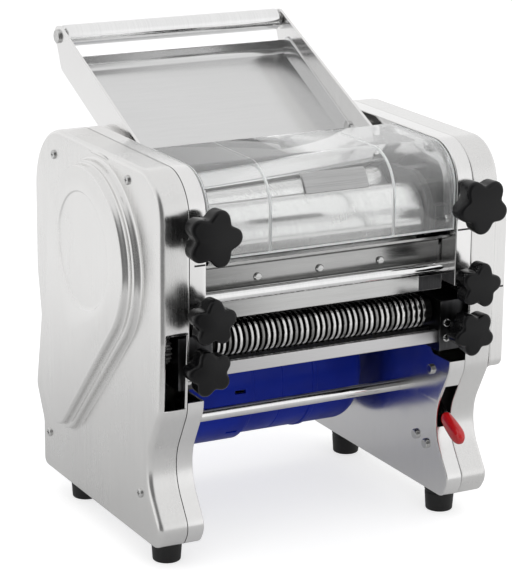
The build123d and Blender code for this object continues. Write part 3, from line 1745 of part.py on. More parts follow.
def switch_body():
    """The switch behind the lever, with the lever's pin and a foot on the panel."""
    start = lever_x + lever_thickness / 2 + switch_gap
    end = start + switch_width
    low_z = lever_pivot_z - switch_half_height
    case_y = (lever_pivot_y - switch_front, lever_pivot_y + switch_rear)
    case = block(start, end, *case_y, low_z, lever_pivot_z + switch_half_height)
    foot_y = (switch_foot_y - switch_foot_half_depth, switch_foot_y + switch_foot_half_depth)
    foot_z = (switch_foot_z - switch_foot_half_height, switch_foot_z + switch_foot_half_height)
    foot = block(cavity_x, end, *foot_y, *foot_z)
    stem_y = (switch_foot_y - switch_stem_half_depth, switch_foot_y + switch_stem_half_depth)
    stem = block(start, end, *stem_y, switch_foot_z, lever_pivot_z)
    pin = rod(lever_x - lever_pin_reach, end, lever_pivot_y, lever_pivot_z, lever_pin_radius)
    body = case + foot + stem + pin
    for y, z in switch_bolt_places():
        body -= rod(cavity_x - overrun, cavity_x + switch_foot_bore, y, z, rod_bolt_radius)
    return body


def inside_bolt(y, z):
    """A domed bolt from inside the machine through the right panel."""
    head = domed_head(panel_x, y, z, inner_head_height, inner_head_radius)
    return head + rod(panel_x, cavity_x + anchor_bolt_length, y, z, rod_bolt_radius)


def inside_bolts():
    """The anchor bolts of both panels and the switch's bolt."""
    anchors = [both_sides(inside_bolt(y, z)) for y, z in anchor_bolt_places()]
    return group(*anchors, *[inside_bolt(y, z) for y, z in switch_bolt_places()])


def ledge_blocks():
    """Tapped blocks behind the panels, just under the recess."""
    half = ledge_block_half
    end = cavity_x + ledge_block_thickness
    body = block(cavity_x, end, ledge_y - half, ledge_y + half, ledge_z - half, ledge_z + half)
    body -= rod(cavity_x - overrun, end + overrun, ledge_y, ledge_z, rod_bolt_radius)
    return both_sides(body)


def cable_gland():
    """The cable's gland in the right cover's heel."""
    inner_end = heel_y - gland_inner_length
    outer_end = heel_y + gland_length
    thread = gland_thread_radius - running_clearance
    body = pin_along_y(gland_x, gland_z, inner_end, outer_end, thread)
    nut = pin_along_y(gland_x, gland_z, heel_y, outer_end - gland_lip, gland_radius)
    bore = pin_along_y(gland_x, gland_z, inner_end - overrun, outer_end + overrun, gland_bore_radius)
    return body + nut - bore


# ---- sheets behind the working parts ----
def back_plate():
    """The sheet that closes the back above the motor."""
    edge = panel_x
    plate = block(-edge, edge, back_plate_y, back_plate_y + sheet, back_plate_bottom_z, back_plate_top_z)
    flange_y = (back_plate_y - back_flange_depth, back_plate_y)
    flange = block(edge - sheet, edge, *flange_y, back_plate_bottom_z, back_flange_top_z)
    return plate + flange + mirrored(flange)


def motor_shield():
    """The sheet that keeps flour off the motor."""
    face = outline([
        (shield_front_y, shield_front_z, 0.0),
        (shield_front_y, shield_front_z - shield_lip, 0.0),
        (shield_front_y + sheet, shield_front_z - shield_lip, 0.0),
        (shield_front_y + sheet, shield_front_z - sheet, 0.0),
        (back_plate_y, shield_rear_z - sheet, 0.0),
        (back_plate_y, shield_rear_z, 0.0),
    ])
    return slab(face, -panel_x, panel_x)


# ---- the whole machine ----
def machine():
    """Every node by name."""
    made = {
        "left_outer_cover": left_outer_cover(),
        "left_inner_shell": left_inner_shell(),
        "right_inner_shell": right_inner_shell(),
        "right_outer_cover": right_outer_cover(),
        "right_side_box": right_side_box(),
        "cover_screws": cover_screws(),
        "panel_blocks": group(
            cover_posts(), block_guides(), knob_anchor_blocks(), cheek_blocks(), ledge_blocks(),
            guide_brackets(),
        ),
        "rubber_feet": rubber_feet(),
        "foot_fixings": group(foot_plates(), foot_bolts()),
        "tie_rods": tie_rods(),
        "front_bar": cross_rod(front_bar_y, front_bar_z, front_bar_radius),
        "frame_bolts": group(rod_bolts(), motor_bolts()),
        "domed_bolts": group(tray_bolts(), guard_screws(), inside_bolts()),
        "front_screws": group(deck_screws(), block_screws()),
        "rear_roller": rear_roller(),
        "front_roller": front_roller(),
        "rear_roller_gear": rear_roller_gear(),
        "front_roller_gear": front_roller_gear(),
        "rear_bearing_blocks": group(rear_bearing_blocks(), both_sides(bearing_ring(rear_roller_y))),
        "front_bearing_blocks": group(front_bearing_blocks(), both_sides(bearing_ring(front_roller_y))),
        "deck_plate": deck_plate(),
        "scrapers": group(
            scraper_bar(), about_nip(scraper_bar()), scraper_blade(), about_nip(scraper_blade())
        ),
        "guide_plate": guide_plate(),
        "roller_cheeks": cheeks(),
        "guard_sheet": guard_sheet(),
        "guard_ribs": group(guard_ribs(), guard_flanges()),
        "nameplate": nameplate(),
        "tray_arms": both_sides(tray_arm()),
        "tray_pan": tray_pan(),
        "tray_guide_roller": tray_guide_roller(),
        "tray_axle": tray_axle(),
        "front_cutter": front_cutter(),
        "rear_cutter": rear_cutter(),
        "front_cutter_gear": front_cutter_gear(),
        "rear_cutter_gears": group(rear_cutter_gear(), cutter_drive_gear()),
        "idler_gear": idler_gear(),
        "idler_shaft": idler_shaft(),
        "cutter_end_blocks": cutter_end_blocks(),
        "cutter_front_bar": cutter_front_bar(),
        "cutter_combs": cutter_combs(),
        "big_pulley": big_pulley(),
        "motor_pulley": motor_pulley(),
        "drive_belt": drive_belt(),
        "motor_flange": motor_flange(),
        "motor_fan_cover": motor_fan_cover(),
        "motor_body": group(motor_body(), motor_stator()),
        "motor_end_bell": motor_end_bell(),
        "motor_rotor": group(motor_rotor(), motor_fan()),
        "switch_lever": switch_lever(),
        "lever_grip": lever_grip(),
        "switch_body": switch_body(),
        "cable_gland": cable_gland(),
        "back_plate": back_plate(),
        "motor_shield": motor_shield(),
    }
    made.update(knobs())
    return made


for node_name, node_shape in machine().items():
    export_step(node_shape, f"parts/{node_name}.step")
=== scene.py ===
import json
from math import radians

import bmesh
import bpy
import numpy as np
from mathutils import Matrix, Vector

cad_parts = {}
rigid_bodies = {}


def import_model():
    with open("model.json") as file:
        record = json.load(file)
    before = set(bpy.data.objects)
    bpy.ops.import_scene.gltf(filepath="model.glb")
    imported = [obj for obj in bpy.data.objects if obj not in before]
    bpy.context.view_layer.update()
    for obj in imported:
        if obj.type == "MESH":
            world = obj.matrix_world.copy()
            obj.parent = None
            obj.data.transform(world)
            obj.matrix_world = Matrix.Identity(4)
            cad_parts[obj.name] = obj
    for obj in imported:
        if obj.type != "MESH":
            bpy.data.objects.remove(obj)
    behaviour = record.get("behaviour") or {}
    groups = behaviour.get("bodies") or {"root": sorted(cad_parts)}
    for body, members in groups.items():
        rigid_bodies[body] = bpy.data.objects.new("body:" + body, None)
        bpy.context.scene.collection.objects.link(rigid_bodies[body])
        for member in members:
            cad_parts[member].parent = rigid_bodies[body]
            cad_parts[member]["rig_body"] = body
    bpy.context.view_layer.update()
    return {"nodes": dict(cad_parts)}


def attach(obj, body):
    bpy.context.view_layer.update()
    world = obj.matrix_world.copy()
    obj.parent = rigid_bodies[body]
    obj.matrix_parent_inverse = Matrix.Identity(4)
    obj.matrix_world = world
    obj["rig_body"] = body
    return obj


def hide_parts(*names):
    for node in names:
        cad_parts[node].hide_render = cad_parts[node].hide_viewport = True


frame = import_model()
nodes = frame["nodes"]

# Finish of an electric pasta maker. Sizes are in millimetres and become metres when a mesh is
# made. X runs across the machine, Y to the back and Z up.
MM = 0.001
QUARTER = np.pi / 2

# ---- places that several pieces share ----
panel_x = 131.0              # inner faces of the housings
seam_x = 147.5               # where a housing's inner shell meets its outer cover
face_x = 177.0               # flat faces of the covers
side_x = 192.5               # outermost faces, of the bulge and of the side box
front_y = -157.5
top_z = 377.0
leg_side_y = -100.0          # what lies in front of this on a housing's outline is its front edge
roller_z = 298.0
rear_roller_y = -26.0
front_roller_y = -92.0
cutter_z = 213.0
front_cutter_y = -127.0
rear_cutter_y = -97.0
motor_y = 44.0
motor_z = 119.0
lever_x = 139.5
knob_x = 139.0
guard_half_width = 129.0
tray_roller_y = 184.0
tray_roller_z = 444.0

# Corners of the housings' side outline as y, z and corner radius, from toe round to heel.
leg_top_z = 230.0
straight_leg = [(-150.0, 25.0, 7.0), (-131.0, 121.0, 10.0), (-151.5, 152.0, 12.0)]
curved_leg = [(-146.0, 25.0, 12.0), (-158.0, 44.0, 16.0), (-122.5, 96.0, 50.0), (-153.5, 155.0, 30.0)]
upper_corners = [
    (front_y, 225.0, 60.0),
    (front_y, top_z, 42.0),
    (126.5, top_z, 66.0),
    (126.5, 228.0, 60.0),
    (118.0, 181.0, 25.0),
    (132.5, 106.0, 16.0),
    (115.0, 72.0, 12.0),
    (115.0, 25.0, 9.0),
]
housing_corners = curved_leg + upper_corners


# ---- meshes from arrays ----
weld_gap = 0.0002            # points of a made mesh closer than this are one point


def make_object(name, points, face_sets, smooth_angle=35.0):
    """An object from point rows and arrays of face corners, with near points joined."""
    mesh = bpy.data.meshes.new(name)
    loops = np.concatenate([faces.ravel() for faces in face_sets])
    sizes = np.concatenate([np.full(len(faces), faces.shape[1]) for faces in face_sets])
    starts = np.cumsum(sizes) - sizes
    mesh.vertices.add(len(points))
    mesh.vertices.foreach_set("co", (np.asarray(points, float) * MM).ravel())
    mesh.loops.add(len(loops))
    mesh.loops.foreach_set("vertex_index", loops.astype(np.int32))
    mesh.polygons.add(len(sizes))
    mesh.polygons.foreach_set("loop_start", starts.astype(np.int32))
    mesh.update(calc_edges=True)
    mesh.validate()
    join_near_points(mesh, weld_gap * MM)
    shade(mesh, smooth_angle)
    made = bpy.data.objects.new(name, mesh)
    bpy.context.scene.collection.objects.link(made)
    return made


def join_near_points(mesh, distance):
    """Merge points closer than distance, which closes seams and poles."""
    work = bmesh.new()
    work.from_mesh(mesh)
    bmesh.ops.remove_doubles(work, verts=work.verts, dist=distance)
    bmesh.ops.dissolve_degenerate(work, dist=distance, edges=work.edges)
    work.to_mesh(mesh)
    work.free()


def shade(mesh, smooth_angle):
    """Smooth shading with sharp edges where faces meet at more than smooth_angle degrees."""
    mesh.polygons.foreach_set("use_smooth", np.ones(len(mesh.polygons), bool))
    mesh.set_sharp_from_angle(angle=radians(smooth_angle))


def grid_faces(rows, columns, close_columns=False, keep=None):
    """Corner indices of the quads of a rows by columns grid, wrapped if its columns close."""
    i, j = np.meshgrid(np.arange(rows - 1), np.arange(columns if close_columns else columns - 1), indexing="ij")
    beside = (j + 1) % columns
    quads = np.stack([i * columns + j, (i + 1) * columns + j, (i + 1) * columns + beside,
                      i * columns + beside], axis=-1)
    return quads.reshape(-1, 4) if keep is None else quads[keep]


def grid_object(name, points, close_columns=False, keep=None, flip=False, **shading):
    """An object from an array of points with one row and column for each grid node."""
    rows, columns = points.shape[:2]
    faces = grid_faces(rows, columns, close_columns, keep)
    return make_object(name, points.reshape(-1, 3), [faces[:, ::-1] if flip else faces], **shading)


def drawn_together(points, both=True):
    """The grid with one more row after its last, and one before its first if both, in which
    every point is the middle of the row beside it, so that the ends close."""
    first, last = [np.broadcast_to(points[k].mean(0), points[k].shape)[None] for k in (0, -1)]
    return np.concatenate([first, points, last] if both else [points, last])


def joined(name, parts):
    """One object from several, which are used up."""
    bpy.ops.object.select_all(action="DESELECT")
    for part in parts:
        part.select_set(True)
    bpy.context.view_layer.objects.active = parts[0]
    bpy.ops.object.join()
    parts[0].name = name
    parts[0].data.name = name
    return parts[0]


def modifier(piece, kind, **settings):
    """Add a modifier with the given settings."""
    made = piece.modifiers.new(kind.title(), kind)
    for key, value in settings.items():
        setattr(made, key, value)


def finish(piece, body, material, replaced=()):
    """Give a piece its material, the body it rides on and the nodes it stands for."""
    piece.data.materials.clear()
    piece.data.materials.append(material)
    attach(piece, body)
    if replaced:
        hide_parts(*replaced)


# ---- curves in the side view ----
def rounded(corners, step=3.0, closed=True, longest=None):
    """Points along straight lines joined by arcs: each corner's arc touches both its lines at
    radius / tan(half the angle between them) from the corner, and its centre lies on their
    bisector. Long straight runs are cut into pieces no longer than longest."""
    corner = np.array([c[:2] for c in corners], float)
    radius = np.array([c[2] for c in corners], float)
    count = len(corner)
    points = []
    for k in range(count):
        here = corner[k]
        if not closed and k in (0, count - 1) or radius[k] <= 0:
            points.append(here[None])
            continue
        to_last = corner[k - 1] - here
        to_next = corner[(k + 1) % count] - here
        to_last = to_last / np.hypot(*to_last)
        to_next = to_next / np.hypot(*to_next)
        half = np.arccos(np.clip(to_last @ to_next, -1, 1)) / 2
        bisector = to_last + to_next
        centre = here + bisector / np.hypot(*bisector) * radius[k] / np.sin(half)
        first = here + to_last * radius[k] / np.tan(half) - centre
        last = here + to_next * radius[k] / np.tan(half) - centre
        start = np.arctan2(first[1], first[0])
        turn = np.arctan2(first[0] * last[1] - first[1] * last[0], first @ last)
        steps = max(4, int(np.ceil(abs(turn) * max(radius[k], 3.0) / step)) + 1)
        angle = start + np.linspace(0, turn, steps)
        points.append(centre + radius[k] * heading(angle))
    return divided(np.concatenate(points), longest or step * 1.5, closed)


def heading(angle):
    """Unit vectors at the given angles."""
    return np.stack([np.cos(angle), np.sin(angle)], -1)


def divided(points, longest, closed=True):
    """The same line with its long runs cut into equal pieces."""
    following = np.roll(points, -1, axis=0)
    if not closed:
        following = following[:-1]
    out = []
    for here, there in zip(points, following):
        pieces = max(1, int(np.ceil(np.hypot(*(there - here)) / longest)))
        out.append(here + (there - here) * np.linspace(0, 1, pieces, endpoint=False)[:, None])
    if not closed:
        out.append(points[-1:])
    return np.concatenate(out)


def normals_of(line, closed=True):
    """Unit normals to the right of a line's direction, from the chord past each point."""
    if closed:
        chord = np.roll(line, -1, axis=0) - np.roll(line, 1, axis=0)
    else:
        chord = np.gradient(line, axis=0)
    chord = chord / np.hypot(chord[:, 0], chord[:, 1])[:, None]
    return np.stack([chord[:, 1], -chord[:, 0]], -1)


def outward_normals(line):
    """Unit normals of a closed line that point away from its middle."""
    normal = normals_of(line)
    return normal if np.mean(np.sum(normal * (line - line.mean(0)), axis=1)) >= 0 else -normal


def hull_radius(angles, centre, circle_a, circle_b):
    """Distance from centre to the belt line round two circles, for each angle: the largest
    reach of either circle and of the straight stretch between them along that ray."""
    (ya, za, ra), (yb, zb, rb) = circle_a, circle_b
    around = heading(np.linspace(0, 2 * np.pi, 2880, endpoint=False))
    support_a = around @ np.array([ya, za]) + ra
    support_b = around @ np.array([yb, zb]) + rb
    from_a = (support_a >= support_b)[:, None]
    line = np.where(from_a, np.array([ya, za]) + ra * around, np.array([yb, zb]) + rb * around)
    line = divided(line, 0.8) - centre
    at = np.arctan2(line[:, 1], line[:, 0])
    reach = np.hypot(line[:, 0], line[:, 1])
    order = np.argsort(at)
    return np.interp(angles, at[order], reach[order], period=2 * np.pi)


def ring(line, x):
    """A side-view line as x, y, z points at one x."""
    return np.column_stack([np.full(len(line), x), line])


# ---- solids from curves ----
def turned(name, corners, y, z, step=0.5, segments=96, axis="X"):
    """A lathe piece from corners of (place along the axis, radius, corner radius), closed on
    the axis at both ends. The axis along X passes through y, z and the one along Z through
    x, y, which are then the two numbers given."""
    return lathe(name, rounded(corners, step=step, closed=False, longest=60.0), y, z, segments, axis)


def lathe(name, profile, y, z, segments=64, axis="X", **shading):
    """A profile of (place along the axis, radius) turned about an axis."""
    turn = np.linspace(0, 2 * np.pi, segments, endpoint=False)
    along, radius = profile[:, :1], profile[:, 1:]
    first, second = radius * np.cos(turn), radius * np.sin(turn)
    along = np.broadcast_to(along, first.shape)
    order = [along, y + first, z + second] if axis == "X" else [y + first, z + second, along]
    return grid_object(name, np.stack(order, -1), close_columns=True, flip=True, **shading)


def symmetric(half):
    """A profile given from the middle to the right end, with its mirror image before it."""
    return [(-a, r, c) for a, r, c in half[::-1]] + half


def band(name, line, thickness, x_from, x_to, edge=0.4):
    """A sheet that follows a side-view line: a rounded rectangle carried along the line, its
    long side along X and its thickness along the line's normal, with closed ends."""
    curve = np.linspace(0, QUARTER, 4)
    half = thickness / 2
    edge = min(edge, half * 0.98)
    corner_middles = [(x_to - edge, half - edge), (x_from + edge, half - edge),
                      (x_from + edge, edge - half), (x_to - edge, edge - half)]
    section = np.concatenate([np.array(middle) + edge * heading(curve + quarter * QUARTER)
                              for quarter, middle in enumerate(corner_middles)])
    normal = normals_of(line, closed=False)
    middle = line + normal * half
    yz = middle[:, None, :] + normal[:, None, :] * section[None, :, 1:]
    points = np.concatenate([np.broadcast_to(section[None, :, :1], yz.shape[:2] + (1,)), yz], -1)
    return grid_object(name, drawn_together(points), close_columns=True, flip=True)


def plate(name, outline, x_from, x_to, edge=0.5):
    """A side-view outline made solid between two x, its edges rounded by a quarter circle."""
    following = np.roll(outline, -1, axis=0)
    clockwise = np.sum(outline[:, 0] * following[:, 1] - outline[:, 1] * following[:, 0]) < 0
    inward = normals_of(outline) if clockwise else -normals_of(outline)
    bend = np.linspace(0, QUARTER, 4)
    inset = [(edge * (1 - np.sin(a)), edge * (1 - np.cos(a))) for a in bend]
    rings = [ring(outline + inward * side, x_from + depth) for side, depth in inset]
    rings += [ring(outline + inward * side, x_to - depth) for side, depth in inset[::-1]]
    count = len(outline)
    quads = grid_faces(len(rings), count, close_columns=True)
    first = np.arange(count)[None]
    last = first + (len(rings) - 1) * count
    faces = [quads, first, last[:, ::-1]] if clockwise else [quads[:, ::-1], first[:, ::-1], last]
    return make_object(name, np.concatenate(rings), faces)


def flat_bar(name, y, z, x, radius, step=0.3, edge=0.2):
    """A bar that fills three ranges, the edges along X rounded to a radius."""
    corners = [(y[0], z[0], radius), (y[1], z[0], radius), (y[1], z[1], radius), (y[0], z[1], radius)]
    return plate(name, rounded(corners, step=step), *x, edge=edge)


# ---- pieces that keep the shape of their node ----
def front_edge(corners, heights):
    """The y of an outline's front edge at each height."""
    line = rounded(corners, step=1.0, longest=1.0)
    line = line[(line[:, 0] < leg_side_y) & (line[:, 1] > 25.001) & (line[:, 1] < leg_top_z)]
    line = line[np.argsort(line[:, 1])]
    return np.interp(heights, line[:, 1], line[:, 0])


def curve_leg(piece):
    """Cut a shell across every few millimetres and move its front edge from the straight leg
    onto the curved one. The move fades out over the panel behind the edge."""
    mesh = piece.data
    work = bmesh.new()
    work.from_mesh(mesh)
    for height in np.arange(26.5, 163.0, 3.5):
        whole = work.verts[:] + work.edges[:] + work.faces[:]
        bmesh.ops.bisect_plane(work, geom=whole, dist=1e-7, plane_co=(0, 0, height * MM), plane_no=(0, 0, 1))
    work.to_mesh(mesh)
    work.free()
    points = np.empty(len(mesh.vertices) * 3)
    mesh.vertices.foreach_get("co", points)
    points = points.reshape(-1, 3) / MM
    was = front_edge(straight_leg + upper_corners, points[:, 2])
    becomes = front_edge(housing_corners, points[:, 2])
    fade_from = -104.0
    rim = 2.5                # this much behind the edge moves as far as the edge does
    share = np.clip((fade_from - points[:, 1]) / (fade_from - was - rim), 0, 1)
    share = share * share * (3 - 2 * share)
    points[:, 1] += (becomes - was) * share * (points[:, 2] < leg_top_z - 1.0)
    mesh.vertices.foreach_set("co", (points * MM).ravel())
    mesh.update()
    shade(mesh, 35.0)


def dressed(node, material, bevel, reshape=None):
    """Replace a node by a merged copy of itself with smooth curves and rounded edges."""
    piece = bpy.data.objects.new(node + "_skin", nodes[node].data.copy())
    bpy.context.scene.collection.objects.link(piece)
    if piece.data.has_custom_normals:
        bpy.context.view_layer.objects.active = piece
        piece.select_set(True)
        bpy.ops.mesh.customdata_custom_splitnormals_clear()
        piece.select_set(False)
    join_near_points(piece.data, 1e-7)
    shade(piece.data, 35.0)
    modifier(piece, "BEVEL", width=bevel * MM, segments=2, limit_method="ANGLE", angle_limit=radians(35.0),
             harden_normals=True, miter_outer="MITER_ARC")
    if reshape:
        reshape(piece)
    finish(piece, nodes[node]["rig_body"], material, [node])


# ---- shader building ----
class Graph:
    """Adds nodes to a node tree and links them, so that a material reads as a list of steps."""

    def __init__(self, tree):
        self.tree = tree

    def put(self, socket, value):
        """Link a socket to another socket, or set its number or colour."""
        if isinstance(value, bpy.types.NodeSocket):
            self.tree.links.new(value, socket)
        else:
            socket.default_value = value

    def add(self, kind, *values, inputs=(), **settings):
        """A new node with its settings, values for its first inputs and values for named ones."""
        node = self.tree.nodes.new(kind)
        for key, value in settings.items():
            setattr(node, key, value)
        for key, value in [*enumerate(values), *dict(inputs).items()]:
            self.put(node.inputs[key], value)
        return node

    def math(self, operation, *values, clamp=False):
        return self.add("ShaderNodeMath", *values, operation=operation, use_clamp=clamp).outputs[0]

    def vector(self, operation, *values):
        """Vector math: a dot product and a length are numbers, all else is a vector."""
        node = self.add("ShaderNodeVectorMath", *values, operation=operation)
        return node.outputs["Value" if operation in ("DOT_PRODUCT", "LENGTH") else "Vector"]

    def noise(self, vector, scale, detail=2.0, roughness=0.5, distortion=0.0):
        inputs = {"Vector": vector, "Scale": scale, "Detail": detail, "Roughness": roughness,
                  "Distortion": distortion}
        return self.add("ShaderNodeTexNoise", inputs=inputs).outputs["Fac"]

    def ramp(self, value, low, high, start=0.0, end=1.0):
        """A smooth change from start to end as value goes from low to high."""
        return self.add("ShaderNodeMapRange", value, low, high, start, end,
                        interpolation_type="SMOOTHSTEP").outputs[0]

    def blend(self, factor, first, second):
        """A mix of two colours, each a socket or red, green and blue."""
        first, second = [(*c, 1.0) if isinstance(c, tuple) else c for c in (first, second)]
        return self.add("ShaderNodeMix", factor, inputs={6: first, 7: second}, data_type="RGBA").outputs[2]

    def bump(self, height, strength, distance):
        inputs = {"Height": height, "Strength": strength, "Distance": distance}
        return self.add("ShaderNodeBump", inputs=inputs).outputs["Normal"]

    def place(self):
        return self.add("ShaderNodeTexCoord").outputs["Object"]

    def effect(self, group, **values):
        """Place a shared effect with its own values and give back its outputs."""
        inputs = {key.title(): value for key, value in values.items()}
        return self.add("ShaderNodeGroup", inputs=inputs, node_tree=group).outputs


NUMBER = "NodeSocketFloat"
VECTOR = "NodeSocketVector"


def new_effect(name, inputs, outputs):
    """An empty node group with named inputs (kind, default) and named numbers for outputs."""
    tree = bpy.data.node_groups.new(name, "ShaderNodeTree")
    for title, (kind, default) in inputs.items():
        socket = tree.interface.new_socket(title, in_out="INPUT", socket_type=kind)
        if default is not None:
            socket.default_value = default
    for title in outputs:
        tree.interface.new_socket(title, in_out="OUTPUT", socket_type=NUMBER)
    graph = Graph(tree)
    return tree, graph, graph.add("NodeGroupInput").outputs, graph.add("NodeGroupOutput").inputs


def make_grain_effect():
    """Brushed lines: fine noise stretched along one direction, over a slow drift of tone."""
    inputs = {"Place": (VECTOR, None), "Stretch": (VECTOR, (1.0, 1.0, 1.0)), "Fineness": (NUMBER, 900.0)}
    tree, g, given, out = new_effect("brushed grain", inputs, ["Line", "Drift"])
    stretched = g.vector("MULTIPLY", given["Place"], given["Stretch"])
    fine = g.noise(stretched, given["Fineness"], 4.0, 0.65)
    coarse = g.noise(stretched, g.math("MULTIPLY", given["Fineness"], 0.22))
    both = g.math("ADD", g.math("MULTIPLY", fine, 0.65), g.math("MULTIPLY", coarse, 0.35))
    g.put(out["Line"], g.ramp(both, 0.36, 0.64))
    g.put(out["Drift"], g.ramp(g.noise(given["Place"], 9.0, 3.0), 0.35, 0.68))
    return tree


def make_smudge_effect():
    """Wiped patches and finger marks: a warped noise cut into soft islands."""
    tree, g, given, out = new_effect("smudges", {"Place": (VECTOR, None), "Size": (NUMBER, 14.0)}, ["Mark"])
    g.put(out["Mark"], g.ramp(g.noise(given["Place"], given["Size"], 4.0, 0.6, 1.2), 0.5, 0.72))
    return tree


def make_edge_effect():
    """Worn edges: how far the normal, averaged over a small radius, turns from the face's."""
    tree, g, given, out = new_effect("edge wear", {"Place": (VECTOR, None)}, ["Edge"])
    soft = g.add("ShaderNodeBevel", 0.0012, samples=4).outputs["Normal"]
    agreement = g.vector("DOT_PRODUCT", soft, g.add("ShaderNodeNewGeometry").outputs["Normal"])
    turned_away = g.ramp(agreement, 0.995, 0.86)
    patchy = g.ramp(g.noise(given["Place"], 160.0, 3.0), 0.3, 0.62)
    g.put(out["Edge"], g.math("MULTIPLY", turned_away, patchy))
    return tree


grain_effect = make_grain_effect()
smudge_effect = make_smudge_effect()
edge_effect = make_edge_effect()


def new_material(name, **constants):
    """A material with one Principled BSDF, plain numbers set on its own sockets."""
    made = bpy.data.materials.new(name)
    made.use_nodes = True
    shader = made.node_tree.nodes["Principled BSDF"]
    for key, value in constants.items():
        shader.inputs[key.replace("_", " ")].default_value = value
    return made, Graph(made.node_tree), shader.inputs


def grey(level):
    return (level, level, level)


def steel(name, light, dark, rough, stretch, fineness, vary, relief, mark=0.05, edge=0.0):
    """Bare metal: tone and roughness follow the grain, with wiped marks over the roughness."""
    made, g, surface = new_material(name, Metallic=1.0)
    place = g.place()
    grain = g.effect(grain_effect, place=place, stretch=stretch, fineness=fineness)
    marks = g.effect(smudge_effect, place=place)
    tone = g.math("ADD", g.math("MULTIPLY", grain["Line"], 0.7), g.math("MULTIPLY", grain["Drift"], 0.3))
    colour = g.blend(tone, dark, light)
    if edge:
        worn = g.effect(edge_effect, place=place)
        colour = g.blend(g.math("MULTIPLY", worn["Edge"], edge), colour, grey(0.9))
    g.put(surface["Base Color"], colour)
    lined = g.math("MULTIPLY_ADD", grain["Line"], vary, rough - vary / 2)
    g.put(surface["Roughness"], g.math("MULTIPLY_ADD", marks["Mark"], mark, lined))
    g.put(surface["Normal"], g.bump(grain["Line"], relief, 0.00003))
    return made


def moulded(name, colour, rough, pebble, relief, worn, coat=0.0, edge=0.5, shine=0.5):
    """Moulded plastic or rubber: a fine pebbled skin, dust in patches and paler edges."""
    made, g, surface = new_material(name, Coat_Weight=coat, Specular_IOR_Level=shine)
    place = g.place()
    marks = g.effect(smudge_effect, place=place, size=22.0)
    edges = g.effect(edge_effect, place=place)
    dusty = g.blend(g.math("MULTIPLY", marks["Mark"], 0.25), colour, worn)
    g.put(surface["Base Color"], g.blend(g.math("MULTIPLY", edges["Edge"], edge), dusty, worn))
    g.put(surface["Roughness"], g.ramp(marks["Mark"], 0.0, 1.0, rough, rough + 0.1))
    g.put(surface["Normal"], g.bump(g.noise(place, pebble, 3.0), relief, 0.00008))
    return made


def painted(name, colour, shade_colour, rough):
    """Sprayed paint: orange peel, a slow drift of shade and paler chips along the edges."""
    made, g, surface = new_material(name, Coat_Weight=0.04, Coat_Roughness=0.15, Specular_IOR_Level=0.18)
    place = g.place()
    drift = g.ramp(g.noise(place, 16.0, 4.0), 0.3, 0.7)
    chipped = g.math("MULTIPLY", g.effect(edge_effect, place=place)["Edge"], 0.3)
    pale = tuple(c * 1.6 + 0.05 for c in colour)
    g.put(surface["Base Color"], g.blend(chipped, g.blend(drift, shade_colour, colour), pale))
    g.put(surface["Roughness"], g.ramp(g.noise(place, 45.0, 3.0), 0.3, 0.7, rough, rough + 0.12))
    g.put(surface["Normal"], g.bump(g.noise(place, 420.0), 0.12, 0.0001))
    return made


def clear_to_shadows(g, surface, share):
    """Let this share of the light that casts shadows pass straight through."""
    shadow = g.add("ShaderNodeLightPath").outputs["Is Shadow Ray"]
    g.put(surface["Alpha"], g.math("SUBTRACT", 1.0, g.math("MULTIPLY", shadow, share)))


def clear_sheet(name):
    """Clear acrylic with faint wiped haze."""
    made, g, surface = new_material(name, Transmission_Weight=0.93, IOR=1.45, Base_Color=(0.985, 0.99, 0.99, 1.0))
    marks = g.effect(smudge_effect, place=g.place(), size=10.0)
    g.put(surface["Roughness"], g.ramp(marks["Mark"], 0.0, 1.0, 0.012, 0.045))
    clear_to_shadows(g, surface, 0.9)
    return made


def sawn_sheet(name):
    """Sawn or bonded acrylic: milky, rough and only partly clear, with fine saw lines."""
    made, g, surface = new_material(name, Transmission_Weight=0.35, IOR=1.49)
    lines = g.noise(g.vector("MULTIPLY", g.place(), (1.0, 0.2, 0.2)), 1800.0)
    g.put(surface["Base Color"], g.blend(lines, (0.86, 0.88, 0.88), (0.97, 0.98, 0.98)))
    g.put(surface["Roughness"], g.ramp(lines, 0.3, 0.7, 0.3, 0.45))
    clear_to_shadows(g, surface, 0.7)
    return made


ring_pitch = 5.75
ring_count = 39
front_first_ring = -ring_count * ring_pitch / 2
rear_first_ring = front_first_ring + ring_pitch / 2


def cutter_steel(name, centre_y, first_ring):
    """Bright ring crowns over grooves coloured near black as painted shade, told apart by distance from the axis.
    Every third ring is dull, and each ring has a little tone of its own."""
    made, g, surface = new_material(name, Metallic=1.0)
    place = g.place()
    start = (first_ring * MM, centre_y * MM, cutter_z * MM)
    moved = g.vector("SUBTRACT", place, start)
    from_axis = g.vector("LENGTH", g.vector("MULTIPLY", moved, (0.0, 1.0, 1.0)))
    crown = g.ramp(from_axis, 15.5 * MM, 16.1 * MM)
    along = g.add("ShaderNodeSeparateXYZ", moved).outputs["X"]
    number = g.math("FLOOR", g.math("DIVIDE", along, ring_pitch * MM))
    dull = g.math("GREATER_THAN", g.math("FLOORED_MODULO", number, 3.0), 1.5)
    own = g.add("ShaderNodeTexWhiteNoise", inputs={"W": number}, noise_dimensions="1D").outputs["Value"]
    tone = g.math("ADD", g.math("MULTIPLY", dull, 0.6), g.math("MULTIPLY", own, 0.25))
    grain = g.effect(grain_effect, place=place, stretch=(8.0, 1.0, 1.0), fineness=500.0)
    bright = g.blend(grain["Line"], (0.72, 0.71, 0.7), (0.9, 0.9, 0.89))
    bright = g.blend(tone, bright, (0.1, 0.1, 0.095))
    # painted shade: the grooves get a near black colour in place of the shade that falls into them
    g.put(surface["Base Color"], g.blend(crown, (0.02, 0.02, 0.019), bright))
    g.put(surface["Roughness"], g.ramp(crown, 0.0, 1.0, 0.45, 0.2))
    g.put(surface["Normal"], g.bump(grain["Line"], 0.08, 0.00004))
    return made


